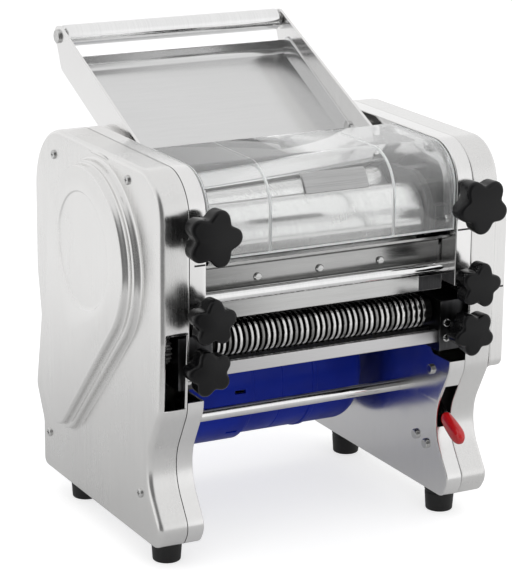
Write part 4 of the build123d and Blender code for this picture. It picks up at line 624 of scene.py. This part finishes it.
# ---- materials ----
# how much the grain's noise is stretched along each axis
ALONG_X = (0.02, 1.0, 1.0)
ALONG_Z = (1.0, 1.0, 0.02)
ROUND_X = (1.0, 0.03, 0.03)
EVEN = (1.0, 1.0, 1.0)

brushed_cover = steel("brushed cover", (0.82, 0.815, 0.805), (0.75, 0.745, 0.74), 0.24, ALONG_Z, 2400.0,
                      0.06, 0.05, edge=0.3)
polished_panel = steel("polished panel", (0.87, 0.865, 0.86), (0.82, 0.815, 0.81), 0.18, ALONG_Z, 2400.0,
                       0.04, 0.02, edge=0.3)
tray_steel = steel("tray steel", grey(0.74), grey(0.7), 0.2, ALONG_X, 2000.0, 0.05, 0.03, 0.04)
chrome_rod = steel("chrome rod", grey(0.9), grey(0.84), 0.06, ROUND_X, 500.0, 0.03, 0.02)
fixing_steel = steel("fixing steel", (0.7, 0.7, 0.69), grey(0.5), 0.2, EVEN, 900.0, 0.1, 0.08, edge=0.5)
inner_steel = steel("inner steel", grey(0.6), grey(0.5), 0.3, ALONG_X, 1400.0, 0.08, 0.06, edge=0.3)
guide_steel = steel("guide steel", (0.6, 0.6, 0.595), (0.5, 0.5, 0.495), 0.18, ALONG_X, 1800.0, 0.06, 0.03)
roller_steel = steel("roller steel", (0.64, 0.64, 0.635), (0.56, 0.56, 0.555), 0.2, ROUND_X, 900.0, 0.06, 0.04,
                     0.1)
gear_steel = steel("gear steel", (0.4, 0.4, 0.395), grey(0.28), 0.34, EVEN, 800.0, 0.12, 0.15, edge=0.7)
deck_steel = steel("deck steel", (0.5, 0.5, 0.495), (0.4, 0.4, 0.395), 0.22, ALONG_X, 1800.0, 0.06, 0.04, edge=0.3)
plate_steel = steel("plate steel", grey(0.56), grey(0.4), 0.36, ALONG_X, 900.0, 0.12, 0.1, edge=0.4)
bar_aluminium = steel("bar aluminium", (0.74, 0.735, 0.74), (0.68, 0.675, 0.68), 0.42, ALONG_X, 1400.0, 0.08, 0.06)
cast_grey = steel("cast grey", grey(0.42), grey(0.32), 0.45, EVEN, 350.0, 0.12, 0.5, edge=0.4)
block_grey = steel("block grey", (0.09, 0.09, 0.093), (0.05, 0.05, 0.052), 0.34, ALONG_Z, 900.0, 0.1, 0.15,
                   edge=0.5)
front_cutter_steel = cutter_steel("front cutter steel", front_cutter_y, front_first_ring)
rear_cutter_steel = cutter_steel("rear cutter steel", rear_cutter_y, rear_first_ring)
black_rubber = moulded("black rubber", grey(0.006), 0.5, 500.0, 0.25, grey(0.02), edge=0.3)
black_plastic = moulded("black plastic", (0.004, 0.004, 0.0045), 0.2, 900.0, 0.03, grey(0.02), edge=0.2,
                         shine=0.25)
dark_plastic = moulded("dark plastic", grey(0.01), 0.4, 800.0, 0.2, grey(0.04))
red_plastic = moulded("red plastic", (0.55, 0.008, 0.012), 0.14, 900.0, 0.02, (0.6, 0.05, 0.05), 0.5, 0.1)
blue_paint = painted("blue paint", (0.006, 0.032, 0.5), (0.004, 0.022, 0.38), 0.36)
clear_acrylic = clear_sheet("clear acrylic")
sawn_acrylic = sawn_sheet("sawn acrylic")

# ---- housings ----
window_low, window_high = 160.0, 231.0   # the opening in the left cover's front rim
cover_edge = 5.0
sheet_wall = 1.5
bulge_foot = ((-28.0, 275.5, 91.0), (44.0, 119.0, 33.0))
bulge_top = ((-21.5, 276.5, 84.0), (49.0, 119.0, 27.5))
bulge_run = 10.0             # nominal distance from the bulge's foot to its top outline
bulge_disc = np.array([-22.0, 281.0])
bulge_disc_radius = 56.0


def sheet_skin(name, rings, side=1.0, keep=None):
    """A pressed sheet over nested closed rings of x, y, z points. The last ring closes on its
    middle. With side -1 it is the mirror image, for the left."""
    points = drawn_together(np.stack(rings), both=False) * np.array([side, 1.0, 1.0])
    made = grid_object(name, points, close_columns=True, keep=keep, flip=side < 0, smooth_angle=50.0)
    modifier(made, "SOLIDIFY", thickness=sheet_wall * MM, offset=-1.0)
    return made


def with_levels(line, levels):
    """The closed line with points added where its front edge crosses the given heights."""
    following = np.roll(line, -1, axis=0)
    out = []
    for here, there in zip(line, following):
        out.append(here[None])
        for level in levels:
            if (here[1] - level) * (there[1] - level) < 0 and here[0] < leg_side_y:
                out.append((here + (there - here) * (level - here[1]) / (there[1] - here[1]))[None])
    return np.concatenate(out)


def rolled_edge(line, outward, edge, lid, steps):
    """Rings of a quarter circle, radius edge, that turns from a rim onto a flat lid."""
    return [ring(line - outward * edge * (1 - np.cos(a)), lid - edge + edge * np.sin(a))
            for a in np.linspace(0, QUARTER, steps)]


def cover_rings(line):
    """Rings of a dished cover: a small rolled edge beside the joint, a straight rim, then the
    bend onto the flat face."""
    outward = outward_normals(line)
    beside_joint = [(1.5, 0.5), (0.5, 0.5), (0.15, 0.65), (0.0, 1.1)]
    rings = [ring(line - outward * inset, seam_x + gap) for inset, gap in beside_joint]
    rings += [ring(line, seam_x + step) for step in (3.0, 10.0, 17.0, 23.5)]
    return rings + rolled_edge(line, outward, cover_edge, face_x, 7)


def angles_about(line, centre):
    """The angle of each point of a line about a centre."""
    away = line - centre
    return np.arctan2(away[:, 1], away[:, 0])


def bulge_profile():
    """The pressed bulge's section as (distance in from its foot, height above the face): two
    steep walls with a flat ledge between them, every bend an arc of a few steps."""
    flat_height = side_x - face_x - 1.2
    step = flat_height / 2
    corners = [(-8.0, 0.0, 0.0), (0.0, 0.0, 4.0), (1.2, step, 2.2), (7.6, step, 2.6),
               (9.0, flat_height, 3.0), (13.0, flat_height, 0.0)]
    return rounded(corners, step=0.8, closed=False)


def left_cover():
    """The left cover: rim, rolled edge, flat face, the two-step bulge that follows a belt round
    two pulleys, and the shallow round dish in it. The bulge's ledge is narrow above and wide
    below, because its top outline is set off from its foot. The dish has its own middle."""
    line = with_levels(rounded(housing_corners, step=2.4), (window_low, window_high))
    rings = cover_rings(line)
    middle = np.array([0.0, 200.0])
    face_line = rings[-1][:, 1:]
    angle = angles_about(face_line, middle)
    foot = hull_radius(angle, middle, *bulge_foot)
    top = hull_radius(angle, middle, *bulge_top)

    def belt_line(inset):
        reach = foot - min(inset, 0.0) + (top - foot) * max(inset, 0.0) / bulge_run
        return middle + heading(angle) * reach[:, None]

    outer = belt_line(-8.0)
    for share in (0.33, 0.66):
        rings.append(ring(face_line + (outer - face_line) * share, face_x))
    for inset, height in bulge_profile():
        rings.append(ring(belt_line(inset), face_x + height))
    lid_line = belt_line(13.0)
    spoke = heading(angles_about(lid_line, bulge_disc))
    disc_line = bulge_disc + spoke * bulge_disc_radius
    for share in (0.4, 0.75):
        rings.append(ring(lid_line + (disc_line - lid_line) * share, side_x))
    for inset, depth in ((-0.9, 0.0), (-0.3, 0.15), (0.5, 1.2), (1.1, 1.35), (4.0, 1.4), (22.0, 1.4)):
        rings.append(ring(disc_line - spoke * inset, side_x - depth))
    heights = (line[:, 1] + np.roll(line[:, 1], -1)) / 2
    in_window = (line[:, 0] < leg_side_y) & (heights > window_low) & (heights < window_high)
    keep = np.ones((len(rings), len(line)), bool)
    keep[4:7, in_window] = False             # the straight rim's three rows of faces
    return sheet_skin("left_cover_skin", rings, side=-1.0, keep=keep)


def right_cover():
    """The right cover: rim, rolled edge and a flat face."""
    rings = cover_rings(rounded(housing_corners, step=2.4))
    middle = np.array([-14.0, 222.0])
    face_line = rings[-1][:, 1:]
    rings += [ring(middle + (face_line - middle) * share, face_x) for share in (0.7, 0.4, 0.15)]
    return sheet_skin("right_cover_skin", rings)


def side_box():
    """The raised box on the right: a rounded rectangle whose walls turn onto a flat lid."""
    line = rounded([(-152.0, 152.0, 8.0), (-152.0, 305.0, 8.0), (60.0, 305.0, 8.0), (60.0, 152.0, 8.0)], step=1.5)
    outward = outward_normals(line)
    middle = line.mean(0)
    rings = [ring(line + outward * flare, face_x + height)
             for flare, height in ((1.2, 0.0), (0.3, 0.4), (0.0, 1.2), (0.0, 6.0))]
    rings += rolled_edge(line, outward, 4.0, side_x, 6)
    rings.append(ring(middle + (rings[-1][:, 1:] - middle) * 0.5, side_x))
    return sheet_skin("side_box_skin", rings)


finish(left_cover(), "frame", brushed_cover, ["left_outer_cover"])
finish(right_cover(), "frame", brushed_cover, ["right_outer_cover"])
finish(side_box(), "frame", brushed_cover, ["right_side_box"])


# ---- turned parts ----
def dough_roller(name, y, left_end, right_end):
    """A smooth drum with rounded rims and a journal at each end."""
    drum = symmetric([(111.0, 32.4, 1.0), (111.0, 10.0, 0.4)])
    corners = [(left_end, 0.0, 0.0), (left_end, 10.0, 0.8), *drum, (right_end, 10.0, 0.8), (right_end, 0.0, 0.0)]
    return turned(name, corners, y, roller_z, step=0.4, segments=128)


def cross_rod(name, y, z, radius):
    """A plain rod between the housings with small rounded ends."""
    half = [(panel_x, radius, 0.5), (panel_x, 0.0, 0.0)]
    return turned(name, symmetric(half), y, z, step=0.2, segments=48)


def guide_roller():
    """The tray's roller: a tube with rolled ends, a plug set a little way into each and a bore
    for the axle."""
    half = [(119.0, 11.0, 0.8), (119.0, 9.3, 0.4), (118.0, 9.2, 0.2), (118.0, 4.1, 0.0)]
    profile = symmetric(half) + [(-118.0, 4.1, 0.0)]
    return turned("tray_roller_tube", profile, tray_roller_y, tray_roller_z, step=0.3)


def rubber_foot(x, y):
    """A tapered foot: flat sole with a rounded rim, a shallow groove and a shoulder at the top."""
    corners = [(0.0, 0.0, 0.0), (0.0, 13.2, 1.6), (18.0, 14.5, 0.6), (18.6, 14.0, 0.3), (20.0, 14.0, 0.3),
               (20.6, 14.8, 0.6), (25.0, 15.0, 0.8), (25.0, 0.0, 0.0)]
    return turned("foot", corners, x, y, step=0.4, segments=64, axis="Z")


rods = [cross_rod("rod", y, z, 6.0) for y, z in ((-57.5, 114.6), (84.0, 52.0), (100.0, 335.0))]
feet = [rubber_foot(x, y) for x in (-149.3, 149.3) for y in (-112.8, 73.2)]
finish(dough_roller("rear_roller_drum", rear_roller_y, -168.0, 168.0), "rear_roller_unit",
       roller_steel, ["rear_roller"])
finish(dough_roller("front_roller_drum", front_roller_y, -145.0, 157.0), "front_roller_unit",
       roller_steel, ["front_roller"])
finish(joined("tie_rod_set", rods), "frame", chrome_rod, ["tie_rods"])
finish(cross_rod("front_rod", -141.5, 257.5, 5.5), "frame", chrome_rod, ["front_bar"])
finish(guide_roller(), "tray_roller", chrome_rod, ["tray_guide_roller"])
finish(joined("foot_set", feet), "frame", black_rubber, ["rubber_feet"])

# ---- cutter ----
# one ring of the cutter: place along the axis from its start, radius
ring_shape = np.array([(0.0, 13.2), (0.0, 15.9), (0.3, 16.33), (0.8, 16.4), (2.0, 16.4), (2.5, 16.33),
                       (2.8, 15.9), (2.8, 13.2)])


def cutter(name, y, first_ring, left_end, right_end):
    """A grooved roller: rings with bevelled shoulders and a flat crown, between two journals."""
    starts = np.zeros((ring_count, 1, 2))
    starts[:, 0, 0] = first_ring + np.arange(ring_count) * ring_pitch
    half = 118.0
    left = [(left_end, 0.0), (left_end, 5.6), (left_end + 0.4, 6.0), (-half, 6.0), (-half, 13.2)]
    right = [(half, 13.2), (half, 6.0), (right_end - 0.4, 6.0), (right_end, 5.6), (right_end, 0.0)]
    profile = np.concatenate([left, (ring_shape + starts).reshape(-1, 2), right])
    return lathe(name, profile, y, cutter_z, segments=72, smooth_angle=20.0)


finish(cutter("front_cutter_rings", front_cutter_y, front_first_ring, -167.0, 155.0), "front_cutter_unit",
       front_cutter_steel, ["front_cutter"])
finish(cutter("rear_cutter_rings", rear_cutter_y, rear_first_ring, -167.0, 167.0), "rear_cutter_unit",
       rear_cutter_steel, ["rear_cutter"])
finish(flat_bar("cutter_bar_solid", (-146.0, -140.0), (184.0, 196.0), (-121.0, 121.0), 0.8), "frame",
       bar_aluminium, ["cutter_front_bar"])

# ---- sheets and strips between the housings ----
guard_bend = 41.0
guard_front_y, guard_top_z = front_y + 1.0, top_z - 1.0
rib_x = guard_half_width / 2
left_and_right = (-1.0, 1.0)


def deck():
    """The bent deck: an upright face, a tight bend and a lip that leans forward."""
    corners = [(-130.0, 250.0, 0.0), (-130.0, 281.0, 1.6), (-149.0, 288.0, 0.0)]
    return band("deck_sheet", rounded(corners, step=0.5, closed=False), 2.0, -guard_half_width, guard_half_width)


def guard_line(inset=0.0):
    """The guard's side view: up the front, over a wide bend and back, inset from its outside."""
    y, z = guard_front_y + inset, guard_top_z - inset
    return rounded([(y, 297.0, 0.0), (y, z, guard_bend - inset), (-40.0, z, 0.0)], step=1.6, closed=False)


def guard():
    """The clear guard: a sheet over the rollers with a flange down each side."""
    sheet = band("guard_sheet_part", guard_line(), 3.0, -guard_half_width, guard_half_width, edge=0.8)
    flanges = [band("guard_flange", guard_line(3.2), 19.8, x, x + 3.0, edge=0.6) for x in (-129.0, 126.0)]
    return joined("guard_shell", [sheet, *flanges])


def guard_edges():
    """The sawn edges of the clear sheet, which look white: one along each side and one along
    the bottom."""
    sides = [band("side_edge", guard_line(-0.1), 3.2, x, x + 1.0) for x in (-129.3, 128.3)]
    y = guard_front_y - 0.1
    low = rounded([(y, 296.7, 0.0), (y, 298.2, 0.0)], step=0.5, closed=False)
    return joined("guard_edges", [*sides, band("low_edge", low, 3.2, -129.0, 129.0, edge=0.3)])


def ribs():
    """The two ribs inside the guard: narrow strips that follow its line."""
    strips = [band("rib", guard_line(3.0), 2.6, side * rib_x - 1.0, side * rib_x + 1.0, edge=0.5)
              for side in left_and_right]
    return joined("guard_rib_strips", strips)


def pan():
    """The tray's pan: a lead-in over the rear roller, a sloping floor that bends up into a lip
    at the back, and a side flange along each edge."""
    floor_line = rounded([(-16.0, 334.5, 0.0), (6.0, 331.0, 12.0), (170.0, 412.0, 7.0), (165.5, 424.5, 0.0)],
                         step=0.8, closed=False)
    floor = band("pan_floor", floor_line, 1.5, -121.8, 121.8, edge=0.6)
    side_corners = [(6.0, 329.5, 1.0), (6.0, 351.0, 4.0), (164.0, 431.0, 6.0), (172.0, 412.0, 3.0)]
    sides = [plate("pan_side", rounded(side_corners, step=0.8), x, x + 1.5, edge=0.4) for x in (-122.0, 120.5)]
    return joined("pan_sheet", [floor, *sides])


def slit_shade_strips():
    """Dark strips, a little proud, on the front edges of the shells and of the side box: painted shade that stands
    for the dark inside of slits.
    """
    thick, half_height = 0.6, 0.9
    spots = [(-143.0, -132.0, -157.6, 293.7), (132.8, 145.4, -157.6, 295.8), (185.5, 189.6, -152.1, 233.2)]
    parts = [flat_bar("slit", (y, y + thick), (z - half_height, z + half_height), (x_from, x_to), 0.2, 0.2, 0.15)
             for x_from, x_to, y, z in spots]
    return joined("shell_slits", parts)


def badge():
    """The bare plate on the guard's curve: a curved sheet whose corners follow a high power
    superellipse and whose rim rolls down within its last twentieth."""
    rim = np.array([0.955, 0.975, 0.99, 1.0])
    across, along = [np.concatenate([-rim[::-1], np.linspace(-0.93, 0.93, n), rim]) for n in (21, 41)]
    u, v = np.meshgrid(along, across, indexing="ij")
    power = 26.0
    pull = (np.abs(u) ** power + np.abs(v) ** power) ** (1 / power)
    widest = np.maximum(np.abs(u), np.abs(v))
    squeeze = np.where(pull > 0, widest / np.maximum(pull, 1e-9), 1.0)
    middle_x, half_length = 2.5, 33.8
    middle_angle, half_angle = 31.0, 13.8    # degrees above the guard's front
    x = middle_x + half_length * u * squeeze
    angle = np.radians(180.0 - (middle_angle + half_angle * v * squeeze))
    radius = guard_bend + 1.3 - 0.9 * np.clip((widest - 0.95) / 0.05, 0, 1) ** 2
    bend_centre = np.array([guard_front_y + guard_bend, guard_top_z - guard_bend])
    points = np.concatenate([x[..., None], bend_centre + radius[..., None] * heading(angle)], -1)
    made = grid_object("badge_sheet", points, flip=True, smooth_angle=30.0)
    modifier(made, "SOLIDIFY", thickness=0.3 * MM, offset=-1.0)
    return made


finish(deck(), "frame", deck_steel, ["deck_plate"])
finish(guard(), "frame", clear_acrylic, ["guard_sheet"])
finish(guard_edges(), "frame", sawn_acrylic)
finish(ribs(), "frame", sawn_acrylic, ["guard_ribs"])
finish(flat_bar("guide_sheet", (-135.5, -133.5), (233.5, 250.0), (-105.0, 105.0), 0.8, edge=0.3), "frame",
       guide_steel, ["guide_plate"])
finish(pan(), "frame", tray_steel, ["tray_pan"])
# dark strips that stand for the shade inside slits: painted shade
finish(slit_shade_strips(), "frame", dark_plastic)
finish(badge(), "frame", plate_steel, ["nameplate"])

# ---- knobs ----
# row: height, radius, y of the face, y of the stud's end, turn of the left and the right knob
knob_rows = {
    "top": (325.6, 27.0, -195.0, -96.0, 0.0, -22.0),
    "middle": (249.0, 22.0, -195.0, -106.0, 16.0, 6.0),
    "lower": (200.5, 22.0, -187.0, -136.0, 33.0, 47.0),
}


def knob(name, x, z, radius, face_y, turn):
    """A star knob: rows go from the middle of its crowned face, over soft lobes, to its neck.
    The five lobes are a little broader than the hollows between them."""
    angle = np.linspace(0, 2 * np.pi, 160, endpoint=False)
    wave = (1 + np.cos(5 * (angle - radians(turn)))) / 2
    star = radius * (0.73 + 0.27 * (wave + 0.45 * wave * (1 - wave)))
    corner, neck = 4.0, 11.0                 # radii of the rounded rim and of the neck
    flat = star - corner
    crown = 2.2 / radius**2                  # the face bows out by 2.2 at its rim
    bend = np.linspace(0, QUARTER, 8)
    # each row: distance from the axis, distance behind the face
    rows = [(share * flat, crown * (share * flat) ** 2) for share in (0.0, 0.2, 0.4, 0.6, 0.8)]
    rows += [(flat + corner * np.sin(a), crown * flat**2 + 3.4 * (1 - np.cos(a))) for a in bend]
    rows += [(star - 0.6 * s, 5.6 + 11.4 * s) for s in (0.35, 0.7, 1.0)]
    rows += [(star - 0.6 - 3.0 * (1 - np.cos(a)), 17.0 + 3.0 * np.sin(a)) for a in bend[1:]]
    rows += [(np.minimum(star - 4.2, 14.0), 20.0), (neck + 0.8, 20.0), (neck + 0.1, 20.6), (neck, 21.5)]
    rows += [(neck, 29.5), (neck - 0.3, 30.6), (neck - 1.2, 31.0), (neck * 0.3, 31.0)]
    points = np.stack([np.stack([x + r * np.cos(angle), np.broadcast_to(face_y + d, angle.shape),
                                 z + r * np.sin(angle)], -1) for r, d in rows])
    return grid_object(name, drawn_together(points, both=False), close_columns=True, smooth_angle=60.0)


def thread(name, x, z, y_from, y_to):
    """A screw thread: the radius falls and rises once for each pitch along a helix."""
    radius, pitch, depth, sides = 4.0, 1.25, 0.55, 28
    along = np.linspace(y_from, y_to, int((y_to - y_from) / pitch * 8) + 2)
    y, a = np.meshgrid(along, np.linspace(0, 2 * np.pi, sides, endpoint=False), indexing="ij")
    phase = (y / pitch + a / (2 * np.pi)) % 1.0
    reach = radius - depth * np.abs(2 * phase - 1)
    points = np.stack([x + reach * np.cos(a), y, z + reach * np.sin(a)], -1)
    return grid_object(name, drawn_together(points), close_columns=True, smooth_angle=60.0)


for row, (z, radius, face_at, stud_end, *turns) in knob_rows.items():
    for hand, x, turn in zip(("left", "right"), (-knob_x, knob_x), turns):
        node = f"{row}_{hand}_knob"
        body = nodes[node]["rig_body"]
        finish(knob(node + "_star", x, z, radius, face_at, turn), body, black_plastic, [node])
        finish(thread(node + "_stud", x, z, face_at + 30.0, stud_end), body, fixing_steel)


# ---- switch grip ----
def grip():
    """The red grip: superellipse sections carried along the lever, swelling towards a blunt tip."""
    start, tip = np.array([-134.0, 103.5]), np.array([-167.0, 87.0])
    half_width, half_height = 5.8, 8.2
    length = np.hypot(*(tip - start))
    along = (tip - start) / length
    aside = np.array([-along[1], along[0]])
    share = np.concatenate([np.linspace(0, 0.75, 12), 0.75 + 0.25 * np.sin(np.linspace(0, QUARTER, 12))[1:]])
    tail = np.clip((share - 0.62) / 0.38, 0, 1)
    swell = 0.78 + 0.22 * np.sin(np.clip(share / 0.7, 0, 1) * QUARTER)
    rim = np.sqrt(np.clip(share / 0.03, 0.0, 1.0)) * 0.15 + 0.85
    power = 2.6
    size = swell * np.sqrt(1 - tail**power * 0.999) * rim
    around = heading(np.linspace(0, 2 * np.pi, 48, endpoint=False))
    wide, tall = (np.sign(around) * np.abs(around) ** (2.0 / power)).T
    centre = start + along * (length * share)[:, None]
    x = lever_x + half_width * size[:, None] * wide
    yz = centre[:, None] + aside * (half_height * size[:, None] * tall)[..., None]
    points = drawn_together(np.concatenate([x[..., None], yz], -1))
    return grid_object("grip_shell", points, close_columns=True, smooth_angle=60.0)


finish(grip(), "switch", red_plastic, ["lever_grip"])

# ---- motor ----
# the casing: a tube with a rolled bead at each end and a shallow groove
casing_corners = [(-14.0, 59.0, 0.0), (-14.0, 64.2, 0.6), (-9.0, 64.2, 0.8), (-8.4, 63.0, 0.4), (22.0, 63.0, 0.2),
                  (22.3, 62.4, 0.1), (23.2, 62.4, 0.1), (23.5, 63.0, 0.2), (56.4, 63.0, 0.4), (57.0, 64.2, 0.8),
                  (62.0, 64.2, 0.6), (62.0, 59.0, 0.0), (-14.0, 59.0, 0.0)]
# the closed end: a short drum that rolls over a wide radius to its face, with a bearing boss
bell_corners = [(62.0, 0.0, 0.0), (62.0, 63.0, 0.4), (118.0, 63.0, 16.0), (118.0, 22.0, 0.4), (118.9, 20.0, 0.4),
                (118.9, 0.0, 0.0)]
finish(turned("motor_casing", casing_corners, motor_y, motor_z, segments=144), "frame", blue_paint,
       ["motor_body"])
finish(turned("motor_bell", bell_corners, motor_y, motor_z, step=0.8, segments=144), "frame",
       blue_paint, ["motor_end_bell"])

# ---- pieces that keep the shape of their node ----
# material, slot, then each node with the radius of its edges
kept_shapes = [
    (polished_panel, "polished_panel", {"left_inner_shell": 0.7, "right_inner_shell": 0.7, "tray_arms": 0.5}),
    (fixing_steel, "steel_fixing", {
        "cover_screws": 0.12, "foot_fixings": 0.3, "frame_bolts": 0.15, "domed_bolts": 0.15,
        "front_screws": 0.15, "tray_axle": 0.2, "idler_shaft": 0.3, "switch_lever": 0.3}),
    (inner_steel, "inner_steel", {
        "rear_bearing_blocks": 0.4, "front_bearing_blocks": 0.4, "scrapers": 0.3, "motor_rotor": 0.3,
        "back_plate": 0.3, "motor_shield": 0.3}),
    (block_grey, "inner_steel", {"panel_blocks": 0.3}),
    (block_grey, "block_grey", {"cutter_end_blocks": 0.6}),
    (gear_steel, "gear_steel", {
        "rear_roller_gear": 0.15, "front_roller_gear": 0.15, "front_cutter_gear": 0.15,
        "rear_cutter_gears": 0.15, "idler_gear": 0.15}),
    (dark_plastic, "comb_plastic", {"roller_cheeks": 0.4, "cutter_combs": 0.15}),
    (dark_plastic, "black_plastic", {"switch_body": 0.6}),
    (black_plastic, "black_plastic", {"cable_gland": 0.5}),
    (black_rubber, "black_rubber", {"drive_belt": 0.4}),
    (cast_grey, "cast_grey", {"big_pulley": 0.4, "motor_pulley": 0.4, "motor_flange": 0.6}),
    (blue_paint, "blue_paint", {"motor_fan_cover": 0.6}),
]
for material, slot, bevels in kept_shapes:
    for node, bevel in bevels.items():
        dressed(node, material, bevel, curve_leg if node.endswith("_inner_shell") else None)


# ---- floor, light and camera ----
def make_room_effect():
    """The dark side of the room: how near a direction is to the front left, as a mask."""
    tree, g, given, out = new_effect("dark side", {"Direction": (VECTOR, None)}, ["Dark"])
    unit = g.vector("NORMALIZE", g.vector("MULTIPLY", given["Direction"], (1.0, 1.0, 0.6)))
    front_left = (-0.5, -0.86, 0.05)
    g.put(out["Dark"], g.ramp(g.vector("DOT_PRODUCT", unit, front_left), 0.55, 0.93))
    return tree


room_effect = make_room_effect()


def studio_floor():
    """A wide floor that is nearly white to the camera and in reflections, and keeps shadows.
    Reflections of its far front left part are dark, as that side of the room is, and so, a
    little, are those of the part that the machine shades."""
    made, g, surface = new_material("studio floor", Roughness=0.9, Specular_IOR_Level=0.1,
                                    Emission_Color=(1.0, 1.0, 1.0, 1.0))
    path = g.add("ShaderNodeLightPath").outputs
    raised = g.vector("SUBTRACT", g.place(), (0.0, -0.1, 0.2))
    far = g.vector("LENGTH", raised)
    side = g.math("MULTIPLY", g.effect(room_effect, direction=raised)["Dark"], g.ramp(far, 0.35, 0.9))
    # painted shadow: reflections of the floor near the machine are darkened, on top of the shadow the lamps cast
    shaded = g.ramp(far, 0.3, 1.2, 0.42, 0.0)
    dark = g.math("MAXIMUM", g.math("MULTIPLY", side, 0.85), shaded)
    dark = g.math("MULTIPLY", dark, path["Is Glossy Ray"])
    g.put(surface["Base Color"], g.blend(dark, grey(0.62), grey(0.05)))
    mirrored = g.math("ADD", path["Is Glossy Ray"], path["Is Transmission Ray"], clamp=True)
    glow = g.math("MAXIMUM", g.math("MULTIPLY", mirrored, 0.44), g.math("MULTIPLY", path["Is Camera Ray"], 0.64))
    g.put(surface["Emission Strength"], g.math("MULTIPLY", glow, g.math("SUBTRACT", 1.0, dark)))
    half = 9000.0
    below = 0.05             # keeps it clear of the feet
    corners = [(x, y, -below) for x, y in ((-half, -half), (half, -half), (half, half), (-half, half))]
    floor = make_object("floor", corners, [np.array([[0, 1, 2, 3]])])
    floor.data.materials.append(made)


def studio_world():
    """White for the camera, through glass and in reflections towards the horizon; overhead and
    at the dark side of the room the light is lower, which gives polished metal its dark lines."""
    world = bpy.data.worlds.new("studio")
    bpy.context.scene.world = world
    world.use_nodes = True
    g = Graph(world.node_tree)
    background = world.node_tree.nodes["Background"].inputs
    direction = g.add("ShaderNodeTexCoord").outputs["Generated"]
    path = g.add("ShaderNodeLightPath").outputs
    ceiling = g.ramp(g.add("ShaderNodeSeparateXYZ", direction).outputs["Z"], 0.2, 0.6, 1.0, 0.9)
    dark = g.effect(room_effect, direction=direction)["Dark"]
    mirrored = g.math("MULTIPLY", ceiling, g.math("SUBTRACT", 1.0, g.math("MULTIPLY", dark, 0.82)))
    soft = g.math("MULTIPLY", g.math("SUBTRACT", 1.0, path["Is Glossy Ray"]), 0.66)
    level = g.math("ADD", g.math("MULTIPLY", mirrored, path["Is Glossy Ray"]), soft)
    seen = g.math("MAXIMUM", path["Is Camera Ray"], path["Is Transmission Ray"])
    g.put(background["Strength"], g.math("MAXIMUM", level, seen))
    g.put(background["Color"], (1.0, 1.0, 1.0, 1.0))


def softbox(name, place, aim, size, power):
    """A rectangular lamp that faces a point and that polished metal doesn't mirror."""
    lamp = bpy.data.lights.new(name, "AREA")
    lamp.shape = "RECTANGLE"
    lamp.size, lamp.size_y = size
    lamp.energy = power
    made = bpy.data.objects.new(name, lamp)
    made.visible_glossy = False
    made.location = place
    away = made.location - Vector(aim)
    made.rotation_euler = away.to_track_quat("Z", "Y").to_euler()
    bpy.context.scene.collection.objects.link(made)


def camera():
    """The viewing camera: its place is a distance back from its aim along azimuth and pitch."""
    azimuth, pitch, roll = radians(-27.82), radians(16.0), radians(0.5)
    aim = Vector((-78.54, -153.03, 261.38)) * MM
    distance = 2217.97 * MM
    focal_pixels, picture_pixels = 2450.36, 583.0
    back = Vector((np.sin(azimuth) * np.cos(pitch), -np.cos(azimuth) * np.cos(pitch), np.sin(pitch)))
    right = Vector((0, 0, 1)).cross(back).normalized()
    up = back.cross(right)
    rolled_right = right * np.cos(roll) + up * np.sin(roll)
    rolled_up = up * np.cos(roll) - right * np.sin(roll)
    lens = bpy.data.cameras.new("view")
    lens.sensor_width = 36.0
    lens.lens = focal_pixels * lens.sensor_width / picture_pixels
    lens.clip_end = 50.0
    made = bpy.data.objects.new("view", lens)
    turn = Matrix((rolled_right, rolled_up, back)).transposed().to_4x4()
    made.matrix_world = Matrix.Translation(aim + back * distance) @ turn
    bpy.context.scene.collection.objects.link(made)
    bpy.context.scene.camera = made


studio_floor()
studio_world()
softbox("key", (-1.5, -1.7, 2.3), (0.0, 0.0, 0.2), (2.8, 2.8), 22.0)
softbox("top", (0.5, -0.3, 2.3), (0.0, 0.0, 0.3), (3.4, 2.4), 14.0)
softbox("fill", (1.25, -2.3, 0.75), (0.0, 0.0, 0.3), (1.5, 1.1), 2.0)
camera()
bpy.context.scene.view_settings.view_transform = "Standard"
